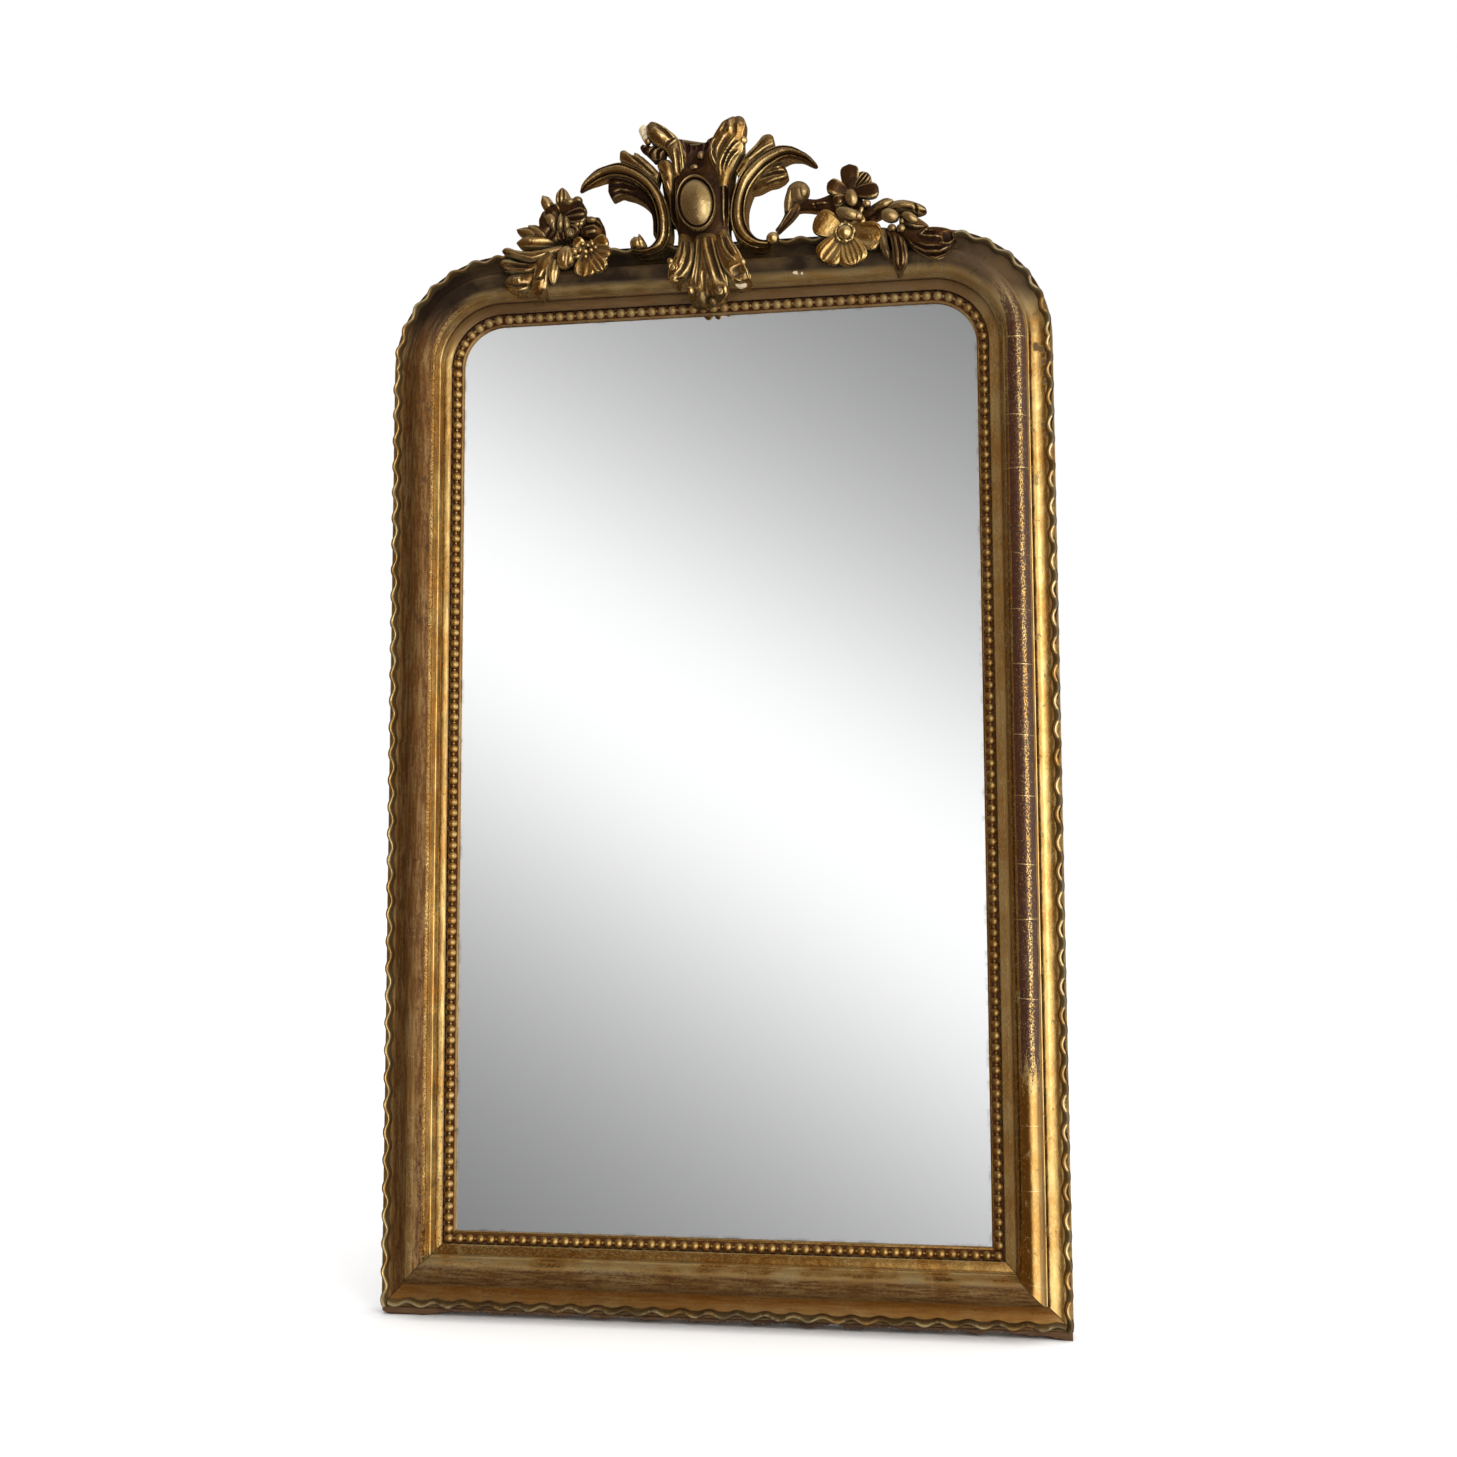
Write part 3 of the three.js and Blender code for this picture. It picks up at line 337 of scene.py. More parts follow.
def moulding_finish():
    """Water gilding on red bole, rubbed through on the torus, with lap lines, darker seams and
    painted shade.
    """
    material, n = new_material("gilt_moulding")
    place = n.place()
    x, _, z = n.parts(place)
    facing = n.facing()
    # across runs out from the sight edge, and run along the moulding, both in mm.
    across, run = n.mark("across"), n.mark("run")
    to_right = n.step(x, -0.15, 0.2)

    def flat(wide, along, detail=3.0, roughness=0.6):
        sizes = {0: across * wide, 1: run * along, 2: x * 4.0}
        spread = n.add("ShaderNodeCombineXYZ", sizes)
        return n.noise(spread, 1.0, detail, roughness)

    broad, streaks = n.noise(place, 22, 4), flat(0.35, 0.03, 4)
    flecks, tiny = flat(0.6, 0.24), flat(1.3, 0.6, 3)
    gold = n.blend(n.step(broad, 0.36, 0.66), GOLD_RED, GOLD)
    gold = n.blend(n.step(flecks, 0.5, 0.7) * 0.4, gold, GOLD_PALE)
    # A dull streaky veil over the gold, weaker low down: tarnish, with painted shade where it is
    # stronger on the left stile.
    veil_and_shade = n.step(streaks, 0.38, 0.66) * (n.invert(to_right) * 0.45 + 0.18)
    veil_and_shade = veil_and_shade * n.step(z, 0.06, 0.11, 0.4, 1.0)
    gold = n.blend(veil_and_shade, gold, srgb(132, 102, 58))

    torus = n.band(across, 28.4, 29.2, 54.8, 55.4)
    crown = n.band(across, 30, 35, 52, 56)
    middle = n.band(z, 0.13, 0.38, 1.02, 1.3)
    wear = crown * middle * (to_right * 0.42 + 0.26)
    worn = n.step(streaks * 0.55 + flecks * 0.3 + wear, 0.78, 0.92)
    glint = n.band(across, 42, 44.5, 47, 49)
    kept = n.step(tiny + glint * 0.12, 0.61, 0.66)
    worn = worn * torus * n.invert(kept)
    cell = (run + x * 93.0) * (1 / 71)
    chance = n.add("ShaderNodeTexWhiteNoise", {"W": n.math("FLOOR", cell)}, output="Value",
                   noise_dimensions="1D")
    line = chance * 0.5 + 0.25 + (across - 42.0) * ((chance - 0.5) * 0.004)
    off = abs(n.math("FRACT", cell) - (line + flecks * 0.012))
    lap = n.step(off, 0.009, 0.004) * torus * n.step(tiny + chance * 0.15, 0.46, 0.6)
    worn = worn * n.invert(lap)
    gold = n.blend(lap * 0.8, gold, GOLD_PALE)

    off_mitre = abs(x) + (z - 0.393)
    at_top = n.step(z, 1.09, 1.16)
    at_bottom = n.step(off_mitre, 0.0004, -0.0004) * n.step(z, 0.0935, 0.0925)
    on_left = n.step(x, -0.27, -0.3) * n.invert(at_bottom)
    on_right = n.step(x, 0.27, 0.3) * n.invert(at_bottom)

    flank = n.band(across, 27, 29, 33, 37) + n.band(across, 13, 15, 24, 26)
    low_left = n.step(z, 0.45, 0.15) * n.invert(to_right)
    spots = tiny * 0.55 + flecks * 0.45
    pits = n.step(spots + (flank * 0.05 + low_left * 0.06), 0.64, 0.69)
    stains = n.step(n.noise(place, 60, 4, 0.65, 0.5) + flecks * 0.18, 0.7, 0.78)
    # Darker along the creases of the section, and a darker band under the ribbon: painted shade
    # where it overhangs.
    seam = n.band(across, 12.6, 13.3, 13.6, 14.6)
    for start, stop, strength in ((24.9, 25.2, 0.8), (27.2, 27.7, 0.9), (55.0, 56.0, 0.7),
                                  (76.2, 84.5, 0.7)):
        here = n.step(across, start - 0.4, start + 0.2) * n.step(across, stop + 0.4, stop - 0.2)
        seam = n.most(seam, here * strength)
    seam = seam * (n.step(flecks, 0.35, 0.6) * 0.3 + 0.7)
    stripe = on_left * n.band(across, 28.2, 28.6, 30.8, 31.8)
    pits = pits * n.invert(stripe * 0.3)
    gold = n.blend(stripe * n.step(tiny, 0.6, 0.42), gold, OCHRE)
    # The bed under the beads is dark red-brown: its red ground, and painted shade in the gaps
    # between the beads.
    bed = n.band(across, 1.9, 2.4, 12.6, 13.2) * 0.95
    mitre = n.step(abs(off_mitre), 0.0009, 0.0003) * n.step(z, 0.0935, 0.0925)
    dirt_and_shade = n.most(n.most(pits * 0.75, mitre * 0.9), n.most(stains * 0.5, seam))

    # Darker bands laid by side of the frame: partly old toned size, partly painted shade of the
    # light on each side.
    uneven = n.step(streaks * 0.6 + flecks * 0.4, 0.38, 0.6) * 0.22 + 0.78
    left_band = on_left * n.step(across, 29.9, 31.2) * n.step(across, 78, 72)
    clear = low_left * n.step(across, 38, 41) * (n.step(across, 48, 45) * 0.75)
    left_band = left_band * n.invert(clear)
    right_band = on_right * n.step(across, 48.0, 50.5) * (n.step(across, 56.4, 55.2) * 0.65)
    bottom_band = at_bottom * n.step(across, 27.5, 35) * n.step(across, 80, 62, 0.6, 0.97)
    fillet = n.band(across, 13.2, 13.5, 14.6, 16)
    inner_left = on_left * n.most(n.step(across, 2.4, 2.2), fillet)
    inner_top = at_top * n.step(across, 27.5, 26) * 0.8
    toned_and_shade = n.most(n.most(left_band, right_band), bottom_band) * uneven
    ledge = on_right * n.step(across, 21.0, 22.6) * (n.step(across, 25.4, 24.9) * 0.6)
    toned_and_shade = n.most(toned_and_shade, n.most(inner_left * 0.55, n.most(inner_top, ledge)))
    # A dark dust colour on faces turned up, and over the whole top rail: dust, and along the top
    # rail painted shade.
    top_dust_and_shade = at_top * (n.step(across, 26, 37) * 0.6 + 0.4)
    top_dust_and_shade = top_dust_and_shade * (n.step(broad, 0.35, 0.6) * 0.08 + 0.92)
    dusty_and_shaded = n.most(n.step(facing[2], 0.25, 0.8) * n.step(broad, 0.3, 0.62) * 0.6, top_dust_and_shade)

    # On the bottom rail the bands are dark brown on the torus, painted shade, and warm orange on
    # the hollow, a painted warm reflection.
    bottom_shade_and_reflection = n.blend(n.step(across, 51, 56), srgb(66, 38, 10), srgb(120, 72, 16))
    colour = n.blend(toned_and_shade, gold, n.blend(at_bottom, TONE_AND_SHADE, bottom_shade_and_reflection))
    colour = n.blend(worn, colour, n.blend(to_right, BOLE, BOLE_PURPLE))
    # The dust colour is lighter on the right side: painted light where the light falls.
    colour = n.blend(dusty_and_shaded, colour, n.blend(n.step(x, 0.24, 0.34), DUST_AND_SHADE, srgb(74, 57, 40)))
    # Specks, stains, dark mitres and the darker seams, the seams partly painted shade.
    colour = n.blend(dirt_and_shade, colour, GRIME_AND_SHADE)
    colour = n.blend(bed, colour, BED)
    outside = n.step(across, 83.6, 83.9) * n.step(abs(facing[1]), 0.5, 0.3)
    edge = n.blend(n.step(flecks, 0.4, 0.7), OCHRE, srgb(84, 54, 26))
    # Where the outer sides face down they are darker brown: painted shade.
    edge = n.blend(n.step(facing[2], -0.2, -0.6), edge, srgb(52, 30, 16))
    colour = n.blend(outside, colour, edge)
    lost = near(n, place, LOSSES, 0.25)
    colour = n.blend(lost, colour, srgb(106, 82, 54))
    bare = near(n, place, CHIPS, 0.3)
    colour = n.blend(bare, colour, GESSO)
    toned_and_shade_matt = toned_and_shade * (on_left * n.step(across, 47, 38) * 0.28 + 0.62)
    matt = n.capped(worn * 0.9 + dirt_and_shade * 0.8, dusty_and_shaded + toned_and_shade_matt)
    inner_right = on_right * n.step(across, 13.6, 14.2) * (n.step(across, 25, 24.4) * 0.22)
    matt = n.most(n.most(n.most(matt, inner_right), bed), n.most(outside, n.most(bare, lost)))
    soiled_and_shaded = n.most(n.most(dirt_and_shade, bed), n.most(dusty_and_shaded * 0.9, n.most(toned_and_shade * 0.75, lost)))
    rough = n.capped(flecks * 0.16 + 0.15, n.most(dirt_and_shade, toned_and_shade) * 0.2 + dusty_and_shaded * 0.3)
    rough = n.most(rough, n.most(n.most(outside, lost), n.most(bare, bed)) * 0.7)
    normal = n.bump(n.noise(place, 55, 2), 0.45, 0.0012)
    relief = flecks * 0.5 + tiny * 0.25 + (worn * -0.35 + lap * 0.4)
    n.finish(Base_Color=colour, Metallic=n.invert(matt), Roughness=rough,
             Normal=n.bump(relief, 0.4, 0.0004, normal), Specular_IOR_Level=soiled_and_shaded * -0.42 + 0.5)
    return material


def carved_finish(name, kind):
    """Gilding on carved ornament: paler where it stands proud, darker where it lies deep, painted
    shade where enclosed.
    """
    material, n = new_material(name)
    place = n.place()
    x, _, z = n.parts(place)
    facing = n.facing()
    relief = n.mark("relief")
    broad, fine = n.noise(place, 30, 3), n.noise(place, 330, 4, 0.65)
    tiny = n.noise(place, 1000, 2, 0.7)
    gold = n.blend(n.step(broad, 0.36, 0.64), GOLD_RED, GOLD)
    gold = n.blend(n.step(fine, 0.5, 0.7) * 0.35, gold, GOLD_PALE)
    dust_and_shade, worn, base_rough = 0.0, n.step(tiny, 0.6, 0.68) * 0.4, 0.2

    # Painted shade where nearby surfaces enclose the point, from ambient occlusion.
    def occluded_shade():
        closed = n.add("ShaderNodeAmbientOcclusion", {"Distance": 0.01}, output="AO", samples=5)
        return n.step(closed, 0.8, 0.35)

    if kind == "beads":
        gold = n.blend(n.mark("chance") * 0.35 + 0.3, gold, srgb(176, 150, 104))
        # Each bead darkens to the bed colour toward its foot, painted shade; the beads along the
        # top take a dark dust colour, dust and painted shade.
        dirt_and_shade = n.step(n.mark("rise"), -0.5, -2.1)
        dust_and_shade = n.step(z, 1.1, 1.16) * 0.4
        base_rough = 0.34
    elif kind == "ribbon":
        across = n.mark("across")
        inner, outer = n.step(across, -1.5, -2.8), n.step(across, 0.9, 1.9)
        crown = n.band(across, -1.4, -0.8, 0.7, 1.2)
        # Paler gold along the crown of the ribbon: a painted highlight.
        gold = n.blend(crown * n.step(n.noise(place, 30, 2), 0.35, 0.65), gold, GOLD_PALE)
        patches = n.step(n.noise(place, 45, 3) + fine * 0.3, 0.6, 0.72)
        # Painted shade on the inner and outer slopes, in the parts of each wave turned from the
        # light on the right stile, on faces turned down and along the bottom rail, with rubbed and
        # dirty patches.
        dirt_and_shade = n.most(inner * 0.8, outer * (patches * 0.5 + 0.35))
        dirt_and_shade = n.most(dirt_and_shade, n.most(patches * 0.2, occluded_shade() * 0.7))
        gaps = n.step(n.mark("phase") + fine * 0.5, 0.15, 0.7) * n.step(x, 0.3, 0.36)
        dirt_and_shade = n.most(n.most(dirt_and_shade, gaps * 0.8), n.step(facing[2], -0.15, -0.6) * 0.75)
        worn = n.most(worn, outer * patches)
        dirt_and_shade = n.most(dirt_and_shade, n.step(z, 0.032, 0.02) * (patches * 0.35 + 0.5))
        # A dark dust colour along the top: dust and painted shade.
        dust_and_shade = n.step(z, 1.1, 1.2) * (n.step(facing[2], 0.2, 0.8) * 0.25 + 0.55)
    else:
        # Each piece's dull share darkens its gold, and lightens it below zero: partly tarnish,
        # partly painted light and shade, with painted shade on deep parts.
        dull_and_shade = n.mark("dull_and_shade")
        smoke_and_shade = n.capped(n.step(n.noise(place, 18, 3, 0.5, 0.6), 0.4, 0.62) * 0.35, dull_and_shade)
        high = n.step(relief, 0.58, 0.8)
        # Paler gold on the ridges: burnish, and a painted highlight.
        gold = n.blend(high * 0.6, gold, GOLD_PALE)
        # Below the ridges the gold is toned darker: tarnish and painted shade.
        toned_and_shade = n.capped(smoke_and_shade * 0.75, n.invert(high) * n.capped(dull_and_shade * 0.7, 0.55))
        gold = n.blend(toned_and_shade, gold, srgb(86, 56, 26))
        # Darker where the carving lies deep, and painted shade where it is enclosed.
        low = smoke_and_shade * -0.16 + n.math("MINIMUM", dull_and_shade, 0.0) * -0.3
        low = n.step(relief + (fine * 0.3 + low), 0.76, 0.48)
        dirt_and_shade = n.most(n.capped(low * 0.85, smoke_and_shade * 0.2), occluded_shade() * 0.9)
        dust_and_shade = n.step(facing[2], 0.1, 0.8) * n.step(broad, 0.35, 0.6) * 0.35
        base_rough = 0.09
    bare = near(n, place, BROKEN, 0.4) if kind == "crest" else 0.0
    worn = n.most(worn, bare)
    colour = n.blend(worn, gold, BOLE)
    colour = n.blend(dust_and_shade, colour, DUST_AND_SHADE)
    colour = n.blend(dirt_and_shade, colour, BED if kind == "beads" else GRIME_AND_SHADE)
    matt = n.capped(worn * 0.9 + dirt_and_shade * 0.75, dust_and_shade * 0.8)
    extra = dirt_and_shade * 0.25 + (dust_and_shade * 0.3 + worn * 0.2)
    rough = n.capped(fine * 0.2 + base_rough, extra)
    height = fine * 0.6 + tiny * 0.3
    normal = n.bump(height, 0.5, 0.0004, n.bump(n.noise(place, 170, 3), 0.55, 0.001))
    n.finish(Base_Color=colour, Metallic=n.invert(matt), Roughness=rough, Normal=normal,
             Specular_IOR_Level=n.most(dirt_and_shade, dust_and_shade) * -0.38 + 0.5)
    return material


# Places where the gold and gesso have broken away, in metres: x, y, z, radius.
CHIPS = [
    (0.0985, -0.0395, 1.1725, 0.0026), (0.1065, -0.0392, 1.1722, 0.0018),
    (0.042, -0.050, 1.1635, 0.0026), (0.382, -0.018, 1.060, 0.0035),
    (-0.381, -0.018, 1.010, 0.0028),
]
# Places where a flake of gesso has gone and left the brown ground.
LOSSES = [
    (0.3655, -0.015, 1.081, 0.0048), (0.3705, -0.014, 1.078, 0.0044),
    (0.3735, -0.0142, 1.064, 0.0036), (0.3745, -0.0145, 1.052, 0.0030),
    (0.3742, -0.0145, 1.040, 0.0026), (0.3735, -0.0142, 0.992, 0.0036),
    (0.3748, -0.0145, 0.980, 0.0030),
]
# Places on the crest that are broken down to the red ground.
BROKEN = [(-0.026, -0.036, 1.330, 0.008), (-0.012, -0.036, 1.327, 0.008),
          (-0.001, -0.036, 1.331, 0.008), (0.008, -0.040, 1.338, 0.005),
          (-0.036, -0.038, 1.335, 0.006), (0.024, -0.045, 1.352, 0.006)]


def wood(name, light, dark, grain_axis):
    """Bare aged timber, its grain along one axis."""
    material, n = new_material(name)
    place = n.place()
    along = {"x": (0.5, 30, 30), "z": (30, 30, 0.5)}[grain_axis]
    grain = n.noise(n.stretched(place, along), 7, 5, 0.6, 0.3)
    fibre = n.noise(n.stretched(place, tuple((v * 3 for v in along))), 14, 3, 0.7)
    stain = n.noise(place, 3, 4, 0.6)
    colour = n.blend(n.step(grain, 0.42, 0.6), light, dark)
    colour = n.blend(n.step(fibre, 0.5, 0.62) * 0.6, colour, dark)
    colour = n.blend(n.step(stain, 0.5, 0.75) * 0.45, colour, srgb(52, 38, 26))
    if grain_axis == "z":
        off_joint = abs(n.parts(place)[0]) - 0.1024
        colour = n.blend(n.step(off_joint, 0.0004, -0.0004) * 0.3, colour, light)
        colour = n.blend(n.step(abs(off_joint), 0.0022, 0.0008) * 0.8, colour, srgb(30, 21, 14))
    normal = n.bump(grain + fibre * 0.6, 0.5, 0.0006)
    n.finish(Base_Color=colour, Metallic=0.0, Roughness=fibre * 0.2 + 0.66, Normal=normal)
    return material


def old_iron():
    material, n = new_material("old_iron")
    place = n.place()
    rust = n.step(n.noise(place, 260, 5, 0.65), 0.48, 0.66)
    colour = n.blend(rust, srgb(62, 56, 52), srgb(98, 58, 36))
    normal = n.bump(n.noise(place, 900, 3), 0.5, 0.0003)
    metal = 0.9 - rust * 0.75
    n.finish(Base_Color=colour, Metallic=metal, Roughness=rust * 0.35 + 0.42, Normal=normal)
    return material


def silvering():
    """The front of the glass: a true mirror, its silver a little tarnished close to the rebate."""
    material, n = new_material("silvering")
    place = n.place()
    x, _, z = n.parts(place)
    side = n.step(abs(x), 0.2955, 0.3005)
    ends = n.step(abs(z - 0.6165), 0.519, 0.524)
    tarnish = n.most(side, ends) * n.step(n.noise(place, 60, 4), 0.45, 0.7)
    colour = n.blend(tarnish * 0.5, (0.97, 0.975, 0.975, 1), srgb(120, 108, 88))
    n.finish(Base_Color=colour, Metallic=1.0, Roughness=0.0)
    return material


def gesso():
    material, n = new_material("bare_gesso")
    place = n.place()
    colour = n.blend(n.step(n.noise(place, 180, 4), 0.4, 0.7), GESSO, srgb(150, 122, 84))
    n.finish(Base_Color=colour, Metallic=0.0, Roughness=0.85,
             Normal=n.bump(n.noise(place, 700, 3), 0.6, 0.0005))
    return material


GILT_MOULDING, GILT_BEADS = moulding_finish(), carved_finish("gilt_beads", "beads")
GILT_RIBBON, GILT_CREST = carved_finish("gilt_ribbon", "ribbon"), carved_finish("gilt_crest",
                                                                                "crest")
UPRIGHT_WOOD = wood("upright_wood", srgb(132, 104, 72), srgb(92, 68, 44), "z")
LEVEL_WOOD = wood("level_wood", srgb(132, 104, 72), srgb(92, 68, 44), "x")
BASE_WOOD = wood("base_wood", srgb(104, 74, 46), srgb(54, 34, 20), "x")
IRON, MIRROR, BARE_GESSO = old_iron(), silvering(), gesso()


# ---- Mouldings ----
def stretch_at(name):
    """The place of a distance out and along, and where a straight stretch starts and ends."""
    side = {"left_stile": -1, "right_stile": 1}.get(name)
    if side:
        return (
            lambda u, s: (side * (HALF_SIGHT + u), s + 0 * u),
            lambda u: SIGHT_BOTTOM - u + 0.05,
            lambda u: SPRING_Z + 0 * u,
        )
    if name == "bottom_rail":
        return (
            lambda u, s: (s + 0 * u, SIGHT_BOTTOM - u),
            lambda u: -(HALF_SIGHT + u) + 0.05,
            lambda u: HALF_SIGHT + u - 0.05,
        )
    return (
        lambda u, s: (s + 0 * u, SIGHT_TOP + u),
        lambda u: -SPRING_X + 0 * u,
        lambda u: SPRING_X + 0 * u,
    )


def corner_at(side):
    def place(u, angle):
        reach = SIGHT_RADIUS + u
        return side * (SPRING_X + reach * np.sin(angle)), SPRING_Z + reach * np.cos(angle)

    return place


def swept(section, name, spacing=4.0):
    """A section carried along one stretch of the frame. Returns the part and its two marks."""
    u, h = section.T
    if name.endswith("corner"):
        place = corner_at(-1 if name.startswith("left") else 1)
        length = QUARTER * (SIGHT_RADIUS + MOULDING_WIDTH / 2)
        shares = np.linspace(0, 1, int(length / spacing) + 1)
        rows = [(place(u, QUARTER * t), t * length + 0 * u) for t in shares]
    else:
        place, start, end = stretch_at(name)
        rows = []
        for t in np.linspace(0, 1, int(abs(end(0.0) - start(0.0)) / spacing) + 1):
            s = start(u) + (end(u) - start(u)) * t
            rows.append((place(u, s), s))
    rings = np.array([np.column_stack([x, h, z]) for (x, z), _ in rows])
    marks = {"across": np.tile(u, len(rows)), "run": np.concatenate([s for _, s in rows])}
    return tube(rings), marks


def softened(section, bevel=0.45, longest=1.4):
    """A section with its corners slightly rounded and its long edges divided."""
    points = [np.array(p, float) for p in section]
    out = []
    for i, p in enumerate(points):
        before, after = points[i - 1] - p, points[(i + 1) % len(points)] - p
        a, b = np.linalg.norm(before), np.linalg.norm(after)
        turn = math.acos(np.clip(-(before @ after) / (a * b), -1, 1))
        if turn < 0.25:
            out.append(p)
            continue
        p0, p2 = p + before / a * min(bevel, 0.35 * a), p + after / b * min(bevel, 0.35 * b)
        out += [(1 - t) ** 2 * p0 + 2 * t * (1 - t) * p + t**2 * p2 for t in (0, 0.5, 1)]
    dense = []
    for i, p in enumerate(out):
        following = out[(i + 1) % len(out)]
        pieces = max(1, int(np.linalg.norm(following - p) / longest))
        dense += [p + (following - p) * k / pieces for k in range(pieces)]
    return np.array(dense)


def moulding_section():
    # Rebate lip, bed of the beads, sight bevel, quirk and fillet; then torus, fillet and hollow.
    section = [(0, 0), (0, 2.6), (2.3, 3), (2.5, 2.4), (5, 2.4), (13.2, 2.4), (13.4, 5.4),
               (14.4, 6.2), (16, 6.8), (18, 7.4), (20, 7.9), (22, 8.1), (24, 8.1), (25, 7.9),
               (25.3, 12.8), (26.5, 13.3), (27, 17), (28, 17.6)]
    section += [(TORUS_U + TORUS_RADIUS * math.cos(t), TORUS_H + TORUS_RADIUS * math.sin(t))
                for t in np.linspace(math.pi, 0, 26)]
    section += [(55.6, 16), (57, 16), (57, 14.3)]
    hollow = [(57.4, 13.4), (59.5, 10.6), (64, 7.9), (70, 7.1), (75.5, 7.6)]
    section += [tuple(p) for p in spline(hollow, np.linspace(0, 1, 16))]
    return softened(section + [(MOULDING_WIDTH, 7.6), (MOULDING_WIDTH, 0)])


# The straight stretches under the names of their ornament, with the names of their mouldings.
STRAIGHT = {"left": "left_stile", "right": "right_stile", "bottom": "bottom_rail",
            "top": "top_rail"}
CORNERS = ["left_corner", "right_corner"]

for stretch in [*STRAIGHT.values(), *CORNERS]:
    part, marks = swept(moulding_section(), stretch)
    points, faces = part
    points = points.copy()
    inside = (points[:, 1] > 1.0) & (marks["across"] > 1)
    points[:, 1] += inside * (0.16 * ripple(points, 60, 11) + 0.07 * ripple(points, 17, 12))
    make_piece(f"moulding_{stretch}_gilt", [(points, faces)], GILT_MOULDING,
               [f"moulding_{stretch}"], marks=marks, sharp=35, gain=1.1)


def ornament_run(name, u, past, below):
    """A run of ornament at a distance out: its length, and the place of each share of it. The
    bottom run reaches past the opening at both ends, and the side runs below it."""
    if name in CORNERS:
        place = corner_at(-1 if name.startswith("left") else 1)
        start, end, length = 0.0, QUARTER, QUARTER * (SIGHT_RADIUS + u)
    else:
        place = stretch_at(STRAIGHT[name])[0]
        start, end = SIGHT_BOTTOM - below, SPRING_Z
        if name == "bottom":
            start, end = -(HALF_SIGHT + past), HALF_SIGHT + past
        elif name == "top":
            start, end = -SPRING_X, SPRING_X
        length = end - start
    return length, lambda share, out=u: place(out, start + (end - start) * share)


# ---- Beads ----
def bead_places(name):
    """Middles of the beads, and of the small ones between them."""
    length, where = ornament_run(name, BEAD_U, 12.7, 3.0)
    count = round(length / BEAD_PITCH)
    big = [where((i + 0.5) / count) for i in range(count)]
    return big, [where(i / count) for i in range(1, count)]


draw = np.random.default_rng(21)
for name in [*STRAIGHT, *CORNERS]:
    big, small = bead_places(name)
    parts, chance, rise = [], [], []
    for places, radius, squat, h, around, down in (
        (big, 5.25, 0.98, 3.7, 18, 12), (small, 1.8, 1.15, 3.9, 9, 6),
    ):
        for x, z in places:
            size = radius * draw.uniform(0.95, 1.02)
            middle = (x + draw.normal(0, 0.12), z + draw.normal(0, 0.12), h)
            part = ball(middle, (size, size, size * squat), draw.uniform(0, 3), around, down)
            parts.append(part)
            chance.append(np.full(len(part[0]), draw.uniform()))
            rise.append(part[0][:, 1] - 3.3)
    make_piece(f"beads_{name}_gilt", parts, GILT_BEADS, [f"beads_{name}"], sharp=180,
               marks={"chance": np.concatenate(chance), "rise": np.concatenate(rise)}, gain=0.0)


# ---- Wavy ribbon ----
RIBBON_STEPS = 18  # of the sweep, to each wave
RIBBON_SECTION = np.array([
    (-4.3, 7.5), (-3.6, 9.6), (-2.6, 12.0), (-1.7, 13.5), (-0.8, 14.0), (0.3, 14.0), (1.3, 13.2),
    (2.3, 11.6), (2.8, 9.6), (3.0, 7.6), (1.5, 7.2), (-2.5, 7.2),
])

for name in [*STRAIGHT, *CORNERS]:
    length, where = ornament_run(name, RIBBON_U, 75.0, 83.7)
    out, lift = RIBBON_SECTION.T
    ridge, proud = 1.0 - np.abs(out) / 5.5, lift > 9
    waves = round(length / RIBBON_WAVE)
    rings, across, phase = [], [], []
    for share in np.arange(waves * RIBBON_STEPS + 1) / (waves * RIBBON_STEPS):
        swing = math.sin(2 * math.pi * waves * share)
        u = RIBBON_U + RIBBON_SWING * swing * (1 + 0.8 * ridge * proud) + out
        h = lift + 0.6 * ridge * math.cos(2 * math.pi * waves * share) * proud
        x, z = where(share, np.minimum(u, RIBBON_U + 4.4))
        rings.append(np.column_stack([x, np.minimum(h, 14.3), z]))
        across.append(out)
        phase.append(np.full(len(out), swing))
    points, faces = tube(np.array(rings))
    worn_down = 0.5 * np.clip(ripple(points, 22, 31) - 0.35, 0, 1) * (points[:, 1] > 11)
    points[:, 1] -= worn_down
    make_piece(f"ribbon_{name}_gilt", [(points, faces)], GILT_RIBBON,
               [f"ribbon_{name}"],
               marks={"across": np.concatenate(across), "phase": np.concatenate(phase)}, sharp=60)


# ---- Crest ----
# The crest is drawn as the camera sees it on the plane h = 38, and each point is then taken back
# along its line of sight to its own height.
EYE_A, EYE_B, EYE_H, DRAWN_H = EYE[0] - CREST_X, EYE[2] - FRAME_TOP, GLASS_Y - EYE[1], 38.0
HIGHEST = 49.2


def settle(a, b, h):
    nearer = (EYE_H - h) / (EYE_H - DRAWN_H)
    return EYE_A + (a - EYE_A) * nearer, EYE_B + (b - EYE_B) * nearer


def cut(a, b, strokes):
    """The sum of the chisel's strokes at each place. A stroke is height, width and its points."""
    total = np.zeros(a.shape)
    for height, width, line in strokes:
        best, share = np.full(a.shape, 1e9), np.zeros(a.shape)
        for i, ((a0, b0), (a1, b1)) in enumerate(zip(line, line[1:])):
            da, db = a1 - a0, b1 - b0
            t = np.clip(((a - a0) * da + (b - b0) * db) / (da * da + db * db), 0, 1)
            d = np.hypot(a - a0 - t * da, b - b0 - t * db)
            share = np.where(d < best, (i + t) / (len(line) - 1), share)
            best = np.minimum(best, d)
        ends = np.clip(np.minimum(4 * share + 0.25, 4 * (1 - share) + 0.25), 0, 1)
        total += height * ends * np.clip(1 - (best / width) ** 2, 0, 1) ** 1.4
    return total


